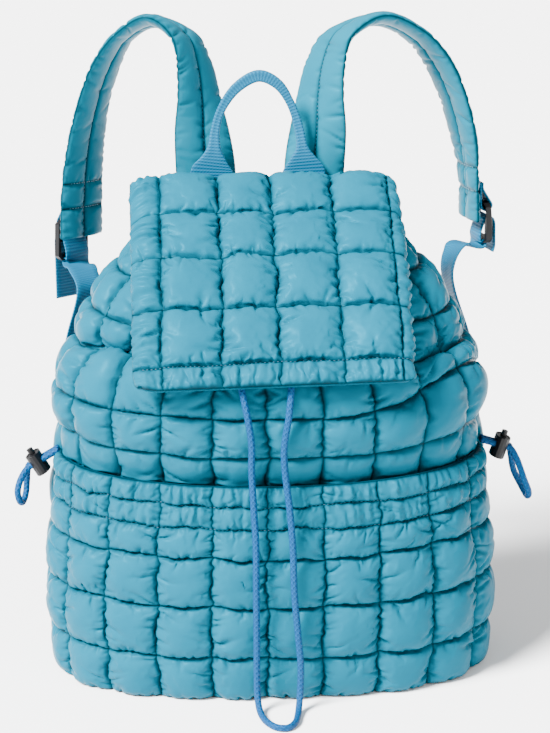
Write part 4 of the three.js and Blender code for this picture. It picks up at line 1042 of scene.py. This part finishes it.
def make_flap():
    columns, rows = np.arange(FLAP_END_COLUMN + 1.0), np.arange(FLAP_END_ROW + 1.0)
    across, down = np.meshgrid(cells(columns, FLAP_COLUMN_STEPS), cells(rows, FLAP_ROW_STEPS))
    from_edge = np.minimum.reduce([across, FLAP_END_COLUMN - across, down, FLAP_END_ROW - down])
    edge = smooth(from_edge / EDGE_FADE)
    plain = flap_form(wander(across, edge, COLUMN_ZIGZAG, 51), wander(down, edge, ROW_ZIGZAG, 53), 0)
    full = row_values(down, rows, FLAP_ROWS["puff"][:-1]) * row_values(across, columns, FLAP_BANDS)
    dome = FLAP_PUFF * full * pillows(across, columns, down, rows)
    hem = down > FLAP_END_ROW - 1
    dome = dome * np.where(hem, pleats(dome.shape, FLAP_WIDTH, 67), 1)
    banded = (down < FLAP_END_ROW - 1) & ((across < 1) | (across > FLAP_END_COLUMN - 1))
    dome = dome * np.where(banded, pleats(dome.T.shape, run_length(plain)[-1, 0], 68).T, 1)
    on_column, on_row = on_stops(across[0], columns), on_stops(down[:, 0], rows)
    held = on_column[None] | on_row[:, None] | (down < 1)
    # The columns run the other way while it is quilted, so that the grid's normals face outwards.
    skin, seam_shade = quilt(
        plain[:, ::-1], dome[:, ::-1], held[:, ::-1], np.flatnonzero(on_column[::-1]),
        np.flatnonzero(on_row), FLAP_COLUMN_PITCHES[::-1], FLAP_ROW_PITCHES, 61)
    hem_lines.append(stitch_line(skin, np.flatnonzero(on_row)[-2], HEM_SPAN))
    lining_places = np.meshgrid(cells(columns, [FLAP_LINING_STEPS] * FLAP_END_COLUMN),
                                cells(rows, [FLAP_LINING_STEPS] * FLAP_END_ROW))
    quilted_wall("flap_quilt", "flap", skin[:, ::-1], flap_form(*lining_places, -WALL),
                 (across, down), lining_places, seam_shade[:, ::-1])


make_flap()

# Base pad: the oval of padded shell cloth that closes the bottom. It is sewn in round the body's
# lower edge, and lies flat where the bag stands on it.

BASE_PAD_THICKNESS = 0.006
BASE_PAD_EDGE = 0.0015
BASE_PAD_STEPS = 8
BASE_PAD_PROFILE = [(0.3, 0), (0.7, 0), (1, 0), (1, 1), (0.7, 1), (0.3, 1)]
BASE_PAD_SLOPE_STEP = 0.3


def make_base_pad():
    column = cells(np.arange(-COLUMNS / 2, COLUMNS / 2 + 1), [BASE_PAD_STEPS] * COLUMNS)[None, :]
    pair = np.repeat([[0], [BASE_PAD_SLOPE_STEP]], column.size, axis=1)
    plain = plain_form(np.repeat(column, 2, axis=0), pair)
    inward = WALL + GAP + pocket_inset(column, pair[:1])
    rim = (plain - grid_normals(plain) * inward[..., None])[0, :-1]
    middle = rim.mean(axis=0)
    rings = []
    for share, level in BASE_PAD_PROFILE:
        ring = middle + (rim - middle) * share
        ring[:, 2] = level * BASE_PAD_THICKNESS
        rings.append(ring)
    piece = sweep("base_quilt", rings)
    bevel = piece.modifiers.new("edge", "BEVEL")
    bevel.width = BASE_PAD_EDGE
    bevel.segments = 3
    bevel.limit_method = "ANGLE"
    finish_padded(piece, shell_material, "base_pad")


make_base_pad()

# Shoulder straps: foam between two layers of the shell cloth, turned, sewn down the middle and along
# both edges, with rows of stitches across the end that holds the webbing loop.

HANDLE_THICKNESS = 0.0022
STRAP_WIDTH = 0.046
STRAP_THICKNESS = 0.010
STRAP_SPACING = 0.082
STRAP_SHIFT = -0.004
STRAP_ANCHOR_DROP = 0.032
STRAP_RISE = 0.159
STRAP_SETBACK = 0.054
HANDLE_PLANE = TAIL_PLANE + GAP + HANDLE_THICKNESS / 2
STRAP_PLANE = HANDLE_PLANE + HANDLE_THICKNESS / 2 + GAP + STRAP_THICKNESS / 2
STRAP_STATIONS = 320
STRAP_CHANNEL_STEPS = 16
STRAP_CHANNEL_FLAT = 0.4
STRAP_PITCH = 0.0058
STRAP_EDGE = 0.45
STRAP_END_FULL = 0.6
STRAP_END_ROWS = (0.024, 0.043)
STRAP_ROW_DIP = 0.0022
STRAP_ROW_PRESS = 0.85
STRAP_ROW_REACH = 11
STRAP_SPAN = slice(4, -4)
STRAP_LIGHT = (0.0, 0.106, 0.158)
STRAP_DEEP = (0.0, 0.084, 0.13)
STRAP_ROUGHNESS = 0.32
STRAP_ROUTE = table(
    ["out", "back", "up", "turn", "own", "dip"],
    [0, 0, 0, 0, 0, 0], [0, 0.01, 0.16, 0, 0, 0], [0.005, 0.08, 0.32, 6, 0, 0],
    [0.03, 0.2, 0.5, 25, 0, 0], [0.045, 0.32, 0.64, 44, 0, 0], [0.08, 0.46, 0.8, 56, 0, 0],
    [0.155, 0.56, 0.925, 66, 0, 6], [0.4, 0.72, 1, 80, 0, 15], [0.62, 0.85, 0.925, 72, 0, 10],
    [0.77, 0.93, 0.78, 63, 0.15, 5], [0.885, 0.98, 0.575, 60, 0.3, 0], [0.96, 1, 0.34, 57, 0.65, 0],
    [0.99, 0.98, 0.14, 56, 0.97, 0], [1, 0.94, -0.055, 56, 1, 0],
)
SIDES["left"].update(reach=0.098, twist=-9, lift=-0.004, seed=71)
SIDES["right"].update(reach=0.128, twist=24, lift=0.007, seed=73)


def strap_stations(side, count):
    """Middle, direction, width and thickness directions along a strap, evenly spaced."""
    sign = side["sign"]
    foot = STRAP_SHIFT + sign * STRAP_SPACING / 2
    anchor = BODY_HEIGHT - STRAP_ANCHOR_DROP
    own = STRAP_ROUTE["own"]
    route = np.stack([
        foot + sign * side["reach"] * STRAP_ROUTE["out"],
        STRAP_PLANE + STRAP_SETBACK * STRAP_ROUTE["back"],
        anchor + STRAP_RISE * STRAP_ROUTE["up"] + side["lift"] * own,
    ], axis=-1)
    line, rows = smooth_line(route, count, rows=True)
    way = unit(np.gradient(line, axis=0))
    turn = np.radians(between(STRAP_ROUTE["turn"], rows) + side["twist"] * between(own, rows))
    dip = np.radians(between(STRAP_ROUTE["dip"], rows))
    level = np.stack([sign * np.cos(turn), -np.sin(turn), np.zeros_like(turn)], axis=-1)
    facing = level * np.cos(dip)[:, None] + np.sin(dip)[:, None] * (0, 0, 1)
    wide = unit(facing - way * np.einsum("ij,ij->i", facing, way)[:, None])
    return line, way, wide, unit(np.cross(wide, way))


def make_strap(side_name, side):
    """One strap: places 0 to 2 run across its one face in two channels, and 2 to 4 back over the
    other."""
    line, way, wide, thick = strap_stations(side, STRAP_STATIONS)
    seams = np.arange(5.0)
    place = cells(seams, [STRAP_CHANNEL_STEPS] * 4)
    aside = 1 - np.abs(place / 2 - 1) * 2
    face = np.where(place < 2, 1, -1)
    length = np.repeat(np.linspace(0, line_length(line), STRAP_STATIONS)[:, None], len(place), axis=1)
    rest = length.max() - length
    sewn = sum(np.exp(-((rest - row) / STRAP_ROW_DIP) ** 2) for row in STRAP_END_ROWS)
    half_wide, half_thick = STRAP_WIDTH / 2, STRAP_THICKNESS / 2
    plain = (line[:, None] + wide[:, None] * (aside * half_wide)[None, :, None]
             + thick[:, None] * (face * half_thick * STRAP_EDGE * (1 - aside**2))[None, :, None])
    dome = half_thick * (1 - STRAP_EDGE) * pillow(place, seams, STRAP_CHANNEL_FLAT)
    dome = dome * (1 - STRAP_ROW_PRESS * sewn)
    dome[[0, -1]] *= STRAP_END_FULL
    on_seam = on_stops(place, seams)
    held = np.repeat(on_seam[None], STRAP_STATIONS, axis=0)
    held[[0, -1]] = True
    seams = np.flatnonzero(on_seam)
    rows = [int(np.abs(rest[:, 0] - row).argmin()) for row in STRAP_END_ROWS]
    pitches = [STRAP_PITCH, 2 * STRAP_PITCH, STRAP_PITCH, 2 * STRAP_PITCH, STRAP_PITCH]
    skin, seam_shade = quilt(plain, dome, held, seams, rows, pitches, [STRAP_PITCH] * 2, side["seed"])
    for middle in seams[[1, 3]]:
        near = slice(middle - STRAP_ROW_REACH, middle + STRAP_ROW_REACH)
        strap_lines.append(stitch_line(skin.swapaxes(0, 1)[:, ::-1], middle, STRAP_SPAN))
        end_lines.extend(stitch_line(skin, row, near) for row in rows)
    uv = np.stack(np.broadcast_arrays(place[None, :-1], length[:, :-1]), axis=-1)
    piece = sweep(f"strap_pad_{side_name}", skin[:, :-1], uv, seam_shade[:, :-1])
    finish_padded(piece, strap_material, f"shoulder_strap_{side_name}")


strap_material = make_nylon("strap_nylon", STRAP_LIGHT, STRAP_DEEP, STRAP_ROUGHNESS)
for side_name, side in SIDES.items():
    make_strap(side_name, side)

# Webbing: 25 mm ribbed tape in a bluer thread. A loop through each strap's end holds the buckle, and
# the adjusting tape runs from the lower back corner over the buckle's middle bar to a loose end.

WEBBING_WIDTH = 0.025
WEBBING_THICKNESS = 0.0016
WEBBING_COLUMN = 6
WEBBING_SEAM = 0.5
BUCKLE_HEIGHT = 0.032
BUCKLE_THICKNESS = 0.0045
BUCKLE_BAR = 0.004
BUCKLE_BEND = 0.0024
BUCKLE_DROP = 0.003
LOOP_LENGTH = 0.018
TURN_RADIUS = hypot(BUCKLE_BAR, BUCKLE_THICKNESS) / 2 + 2 * GAP + WEBBING_THICKNESS / 2
LOOP_PLANE = STRAP_THICKNESS / 2 + GAP + WEBBING_THICKNESS / 2
TOP_BAR = BUCKLE_HEIGHT / 2 - BUCKLE_BAR / 2
BAR_BEND = BUCKLE_BEND * (TOP_BAR / (BUCKLE_HEIGHT / 2)) ** 2
BUCKLE_PLANE = LOOP_PLANE + TURN_RADIUS + BAR_BEND
LEG_OFFSET = BUCKLE_BEND + BUCKLE_THICKNESS / 2 + WEBBING_THICKNESS / 2 + 8 * GAP
TAPE_STEPS = 320
LOOP_STEPS = 90
LOOP_BULGE = 1.3
ROOT_STEPS = (-0.3, 0.3, 1)
TWIST_START = 0.12
TWIST_SPAN = 0.22
TAIL = [(0, -0.004), (-0.0005, 0.006)]
TAIL_LEAN = 0.002
SEAT_STEPS = np.array([-0.06, 0, 0.06])
RIB_PITCH = 0.0024
# Painted shade for the grooves between the ribs.
WEBBING_GROOVE_SHADE = (0.0, 0.05, 0.108)
WEBBING_LIGHT = (0.0, 0.1, 0.188)
TAPE_SECTION = [
    (-1, -0.5), (-0.97, -0.9), (-0.6, -1), (-0.2, -1), (0.2, -1), (0.6, -1), (0.97, -0.9), (1, -0.5),
    (1, 0.5), (0.97, 0.9), (0.6, 1), (0.2, 1), (-0.2, 1), (-0.6, 1), (-0.97, 0.9), (-1, 0.5),
]
# How each adjusting tape runs up from its seat on the bag to the buckle, at its own side.
SIDES["left"].update(tail=0.034, web=[
    (0.148, 0.068, 0.09), (0.15, 0.07, 0.16), (0.147, 0.074, 0.232), (0.137, 0.084, 0.273),
    (0.142, 0.104, 0.2835)])
SIDES["right"].update(tail=0.010, web=[
    (0.156, 0.064, 0.09), (0.16, 0.064, 0.165), (0.156, 0.07, 0.232), (0.1435, 0.084, 0.282),
    (0.153, 0.106, 0.298)])


def make_webbing_material():
    """Flat tape: ribs across it, crossed more faintly by the grain of its lengthwise threads, with
    painted shade darkening the grooves.
    """
    material, tree, shader = new_material("webbing")
    u, v = cloth_places(tree)
    along = maths(tree, "SINE", maths(tree, "MULTIPLY", v, 2 * pi / RIB_PITCH))
    across = maths(tree, "SINE", maths(tree, "MULTIPLY", u, 2 * pi * WEBBING_WIDTH / RIB_PITCH))
    ribs = maths(tree, "MULTIPLY", along, maths(tree, "MULTIPLY_ADD", across, 0.35, 0.65))
    height = maths(tree, "MULTIPLY_ADD", ribs, 0.5, 0.5)
    # Painted shade: darker down the grooves, lighter on the ribs.
    surface(tree, shader, mixed(tree, height, WEBBING_GROOVE_SHADE, WEBBING_LIGHT), height,
            strength=0.6, distance=0.0005)
    shader.inputs["Roughness"].default_value = 0.6
    shader.inputs["Specular IOR Level"].default_value = 0.12
    return material


webbing_material = make_webbing_material()


def strap_end(side):
    """A strap's free end: what gives a place away from the bag and down along the strap from it, and
    the direction of its width."""
    line, way, wide, thick = strap_stations(side, STRAP_STATIONS)
    out = thick[-1] * (1 if thick[-1][0] * side["sign"] > 0 else -1)

    def place(away, down):
        return line[-1] + out * away + way[-1] * down

    return place, wide[-1]


def half_turn(place, away, down, direction):
    """The tape's way round a bar of the buckle."""
    return [place(away - TURN_RADIUS * cos(a), down + direction * TURN_RADIUS * sin(a))
            for a in (0, pi / 4, pi / 2, 3 * pi / 4, pi)]


def tape(name, route, wide_at, count, cad):
    """A flat tape along a route; wide_at gives the direction of its width at a share of the route."""
    line, rows = smooth_line(route, count, rows=True)
    way = unit(np.gradient(line, axis=0))
    share = rows / (len(route) - 1)
    wanted = np.array([wide_at(t) for t in share])
    wide = unit(wanted - way * np.einsum("ij,ij->i", wanted, way)[:, None])
    thick = unit(np.cross(wide, way))
    section = np.array(TAPE_SECTION)
    rings = (line[:, None] + wide[:, None] * (section[None, :, 0:1] * WEBBING_WIDTH / 2)
             + thick[:, None] * (section[None, :, 1:2] * WEBBING_THICKNESS / 2))
    length = np.linspace(0, line_length(line), count)[:, None]
    uv = np.stack(np.broadcast_arrays(section[None, :, 0] / 2 + 0.5, length), axis=-1)
    finish(sweep(name, rings, uv), webbing_material, cad)


def make_buckle_loop(side_name, side):
    """The loop under a strap's end, down round the buckle's upper bar and back up."""
    place, wide = strap_end(side)
    bar = BUCKLE_DROP - TOP_BAR
    above = bar - LOOP_LENGTH
    route = [
        place(LOOP_PLANE, above), place(LOOP_PLANE, (above + bar) / 2),
        *half_turn(place, LOOP_PLANE + TURN_RADIUS, bar, 1),
        place(LOOP_PLANE + LOOP_BULGE * TURN_RADIUS, bar - LOOP_LENGTH / 3),
        place(LOOP_PLANE + WEBBING_THICKNESS + GAP, above + LOOP_LENGTH / 4),
        place(LOOP_PLANE + WEBBING_THICKNESS + GAP, above),
    ]
    tape(f"loop_tape_{side_name}", route, lambda t: wide, LOOP_STEPS, f"buckle_loop_{side_name}")


def seat_place(column):
    """The body's plain form and its outward normal at a column, at the height of the webbing's seat."""
    form = plain_form(*np.meshgrid(column + SEAT_STEPS, WEBBING_SEAM + SEAT_STEPS))
    return form[1, 1], grid_normals(form)[1, 1]


def make_webbing(side_name, side):
    """The adjusting tape, from its seat low on the bag over the buckle's middle bar to its end."""
    place, wide = strap_end(side)
    sign = side["sign"]
    out = seat_place(sign * (WEBBING_COLUMN + 0.5))[1]
    full = PUFF * LEVELS["puff"][0] * np.sqrt(4 * SHOULDER * (1 - SHOULDER))
    corners = [seat_place(sign * (WEBBING_COLUMN + share)) for share in (SHOULDER, 1 - SHOULDER)]
    seats = np.array([form + normal * full for form, normal in corners])
    up = unit(np.array([0, 0, 1]) - out * out[2])
    seat = seats.mean(axis=0) + out * (GAP + WEBBING_THICKNESS / 2)
    root = [seat + up * WEBBING_WIDTH * share for share in ROOT_STEPS]
    root[-1] = root[-1] + out * 2 * WEBBING_THICKNESS
    under = BUCKLE_DROP + TOP_BAR
    leg, front = BUCKLE_PLANE - LEG_OFFSET, BUCKLE_PLANE + TURN_RADIUS
    route = [
        *root, *(np.array(p) * (sign, 1, 1) for p in side["web"]),
        place(leg, under + BUCKLE_BAR), place(leg, under - BUCKLE_BAR),
        *half_turn(place, BUCKLE_PLANE, BUCKLE_DROP, -1),
        *(place(front + away, under + down) for away, down in TAIL),
        place(front - TAIL_LEAN, under + side["tail"]),
    ]
    flat = unit(seats[0] - seats[1])

    def wide_at(share):
        return unit(flat + (wide - flat) * smooth((share - TWIST_START) / TWIST_SPAN))

    tape(f"adjuster_tape_{side_name}", route, wide_at, TAPE_STEPS, f"strap_webbing_{side_name}")


for side_name, side in SIDES.items():
    make_buckle_loop(side_name, side)
    make_webbing(side_name, side)

# Grab handle: a wider tape of the same weave. It is folded along its middle and sewn over the arch,
# and fans out flat where its ends go in behind the flap.

HANDLE_WIDTH = 0.032
HANDLE_RISE = 0.103
HANDLE_SPAN = 0.070
HANDLE_SHIFT = -0.006
HANDLE_ANCHOR_DROP = 0.012
HANDLE_LEAN = 0.007
HANDLE_STATIONS = 240
HANDLE_SIDES = 32
HANDLE_SQUARE = 0.5
HANDLE_NOTCH = 0.25
HANDLE_NOTCH_WIDTH = 0.25
HANDLE_FOLDED = 0.8
HANDLE_FOLD_SPAN = 0.4
HANDLE_ROUTE = table(
    ["across", "up", "width", "thick"],
    [-1, 0, 1, 1], [-1, 0.15, 1, 1], [-1, 0.31, 1, 1], [-0.97, 0.4, 0.6, 1.5], [-0.95, 0.48, 0.32, 2.2],
    [-0.92, 0.6, 0.22, 2.3], [-0.8, 0.74, 0.2, 2.3], [-0.46, 0.91, 0.25, 2.3], [0.03, 1, 0.28, 2.3],
    [0.43, 0.94, 0.25, 2.3], [0.71, 0.8, 0.2, 2.3], [0.89, 0.62, 0.22, 2.3], [0.96, 0.48, 0.28, 2.2],
    [0.98, 0.4, 0.6, 1.5], [1, 0.31, 1, 1], [1, 0.15, 1, 1], [1, 0, 1, 1],
)


def squared(wave):
    """Turns a circle's sine or cosine into that of a squarish outline."""
    return np.sign(wave) * np.abs(wave) ** HANDLE_SQUARE


def make_handle():
    route = np.stack([
        HANDLE_SHIFT + HANDLE_SPAN / 2 * HANDLE_ROUTE["across"],
        HANDLE_PLANE + HANDLE_LEAN * smooth(2 * HANDLE_ROUTE["up"] - 0.6),
        BODY_HEIGHT - HANDLE_ANCHOR_DROP + HANDLE_RISE * HANDLE_ROUTE["up"],
    ], axis=-1)
    line, rows = smooth_line(route, HANDLE_STATIONS, rows=True)
    thick = np.array([0.0, 1.0, 0.0])
    wide = unit(np.cross(unit(np.gradient(line, axis=0)), thick))
    width = between(HANDLE_ROUTE["width"], rows)[:, None]
    half_wide = HANDLE_WIDTH / 2 * width
    half_thick = HANDLE_THICKNESS / 2 * between(HANDLE_ROUTE["thick"], rows)[:, None]
    angle = np.linspace(0, 2 * pi, HANDLE_SIDES, endpoint=False)
    aside, front = squared(np.cos(angle))[None], squared(np.sin(angle))[None]
    folded = smooth((HANDLE_FOLDED - width) / HANDLE_FOLD_SPAN)
    notch = 1 - HANDLE_NOTCH * folded * np.exp(-(aside / HANDLE_NOTCH_WIDTH) ** 2)
    rings = (line[:, None] + wide[:, None] * (aside * half_wide)[..., None]
             + thick * (front * notch * half_thick)[..., None])
    length = np.linspace(0, line_length(line), HANDLE_STATIONS)[:, None]
    uv = np.stack(np.broadcast_arrays(aside * half_wide / WEBBING_WIDTH, length), axis=-1)
    finish(sweep("handle_tape", rings, uv), webbing_material, "grab_handle")


make_handle()

# Buckles and cord locks: moulded black plastic. Each buckle is one bent frame with a middle bar, and
# each lock is a cup with a sprung button in it.

PLASTIC_DARK = (0.002, 0.002, 0.0025)
PLASTIC_LIGHT = (0.006, 0.006, 0.007)


def make_grain_group():
    """Fine grain fixed to the piece: a height, and a colour that runs with it."""
    tree, given = new_group(
        "grain",
        {"Scale": "Float", "Detail": "Float", "Dark": "Color", "Light": "Color"},
        {"Colour": "Color", "Height": "Float"})
    height = speckle(tree, given["Scale"], given["Detail"])
    node(tree, "NodeGroupOutput", {
        "Colour": mixed(tree, height, given["Dark"], given["Light"]),
        "Height": height,
    })
    return tree


def grain(tree, dark, light, scale, detail):
    return node(tree, "ShaderNodeGroup", {
        "Scale": scale, "Detail": detail, "Dark": (*dark, 1), "Light": (*light, 1),
    }, node_tree=grain_group).outputs


def make_plastic():
    material, tree, shader = new_material("black_plastic")
    look = grain(tree, PLASTIC_DARK, PLASTIC_LIGHT, scale=900.0, detail=2.0)
    rough = maths(tree, "MULTIPLY_ADD", look["Height"], 0.2, 0.25)
    surface(tree, shader, look["Colour"], look["Height"], strength=0.15, distance=0.0003)
    tree.links.new(rough, shader.inputs["Roughness"])
    shader.inputs["Specular IOR Level"].default_value = 0.17
    return material


grain_group = make_grain_group()
plastic_material = make_plastic()
for side_name in SIDES:
    for kind in ("strap_buckle", "cord_lock_barrel", "cord_lock_button"):
        plastic_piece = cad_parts[f"{kind}_{side_name}"]
        plastic_piece.data.materials.clear()
        plastic_piece.data.materials.append(plastic_material)

# Stitches: short lengths of thread along the hems, the straps and their ends, laid by one tree of
# nodes along the lines that the sections above have kept.

THREAD_RADIUS = 0.00034
STITCH_LENGTH = 0.0011
STITCH_PITCH = 0.0031
END_STITCH_PITCH = 0.0026
STITCH_SWAY = 0.12
STITCH_SEED = 9
SHELL_THREAD = ((0.0, 0.02, 0.045), (0.002, 0.05, 0.09))
PALE_THREAD = ((0.015, 0.1, 0.16), (0.045, 0.17, 0.23))


def stitch_tree(material):
    """Nodes that lay beads of thread along lines of edges, a pitch apart and a little askew."""
    tree = bpy.data.node_groups.new("stitches", "GeometryNodeTree")
    face = tree.interface
    face.new_socket("Geometry", in_out="INPUT", socket_type="NodeSocketGeometry")
    for name in ("Pitch", "Length", "Radius"):
        face.new_socket(name, in_out="INPUT", socket_type="NodeSocketFloat")
    face.new_socket("Geometry", in_out="OUTPUT", socket_type="NodeSocketGeometry")
    given = node(tree, "NodeGroupInput").outputs
    curve = node(tree, "GeometryNodeMeshToCurve", {"Mesh": given["Geometry"]})
    even = node(tree, "GeometryNodeResampleCurve", {"Curve": curve.outputs[0], "Length": given["Pitch"]},
                mode="LENGTH")
    points = node(tree, "GeometryNodeCurveToPoints", {"Curve": even.outputs[0]}, mode="EVALUATED")
    turn = node(tree, "FunctionNodeAlignRotationToVector", {"Vector": points.outputs["Tangent"]},
                axis="X")
    sway = node(tree, "FunctionNodeRandomValue", {"Seed": STITCH_SEED}, data_type="FLOAT_VECTOR")
    sway.inputs["Min"].default_value = (-STITCH_SWAY,) * 3
    sway.inputs["Max"].default_value = (STITCH_SWAY,) * 3
    swayed = node(tree, "FunctionNodeRotateRotation",
                  {"Rotation": turn.outputs[0], "Rotate By": sway.outputs["Value"]})
    size = node(tree, "ShaderNodeCombineXYZ",
                {"X": given["Length"], "Y": given["Radius"], "Z": given["Radius"]})
    bead = node(tree, "GeometryNodeMeshUVSphere", {"Segments": 6, "Rings": 4, "Radius": 1.0})
    laid = node(tree, "GeometryNodeInstanceOnPoints", {
        "Points": points.outputs["Points"], "Instance": bead.outputs[0], "Rotation": swayed.outputs[0],
        "Scale": size.outputs[0]})
    whole = node(tree, "GeometryNodeRealizeInstances", {"Geometry": laid.outputs[0]})
    smoothed = node(tree, "GeometryNodeSetShadeSmooth", {"Geometry": whole.outputs[0]})
    dressed = node(tree, "GeometryNodeSetMaterial",
                   {"Geometry": smoothed.outputs[0], "Material": material})
    node(tree, "NodeGroupOutput", {0: dressed.outputs[0]})
    return tree


def make_thread(name, dark, light):
    """Sewing thread with a slight sheen, uneven in its colour."""
    material, tree, shader = new_material(name)
    look = grain(tree, dark, light, scale=1800.0, detail=1.0)
    tree.links.new(look["Colour"], shader.inputs["Base Color"])
    shader.inputs["Roughness"].default_value = 0.5
    return material


def sew(name, lines, tree, pitch):
    """Lays the stitches along these lines and keeps them as one plain mesh."""
    points, edges = [], []
    for line in lines:
        edges += [(len(points) + k, len(points) + k + 1) for k in range(len(line) - 1)]
        points += [tuple(p) for p in line]
    mesh = bpy.data.meshes.new(name)
    mesh.from_pydata(points, edges, [])
    guide = bpy.data.objects.new(name + "_guide", mesh)
    bpy.context.scene.collection.objects.link(guide)
    laid = guide.modifiers.new("stitches", "NODES")
    laid.node_group = tree
    values = {"Pitch": pitch, "Length": STITCH_LENGTH, "Radius": THREAD_RADIUS}
    for socket in tree.interface.items_tree:
        if socket.in_out == "INPUT" and socket.name in values:
            laid[socket.identifier] = values[socket.name]
    depsgraph = bpy.context.evaluated_depsgraph_get()
    done = bpy.data.meshes.new_from_object(guide.evaluated_get(depsgraph))
    bpy.data.objects.remove(guide)
    done.name = name
    piece = bpy.data.objects.new(name, done)
    bpy.context.scene.collection.objects.link(piece)
    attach(piece, "bag")


shell_tree = stitch_tree(make_thread("shell_thread", *SHELL_THREAD))
pale_tree = stitch_tree(make_thread("pale_thread", *PALE_THREAD))
sew("hem_stitches", hem_lines, shell_tree, STITCH_PITCH)
sew("strap_stitches", strap_lines, shell_tree, STITCH_PITCH)
sew("end_stitches", end_lines, pale_tree, END_STITCH_PITCH)
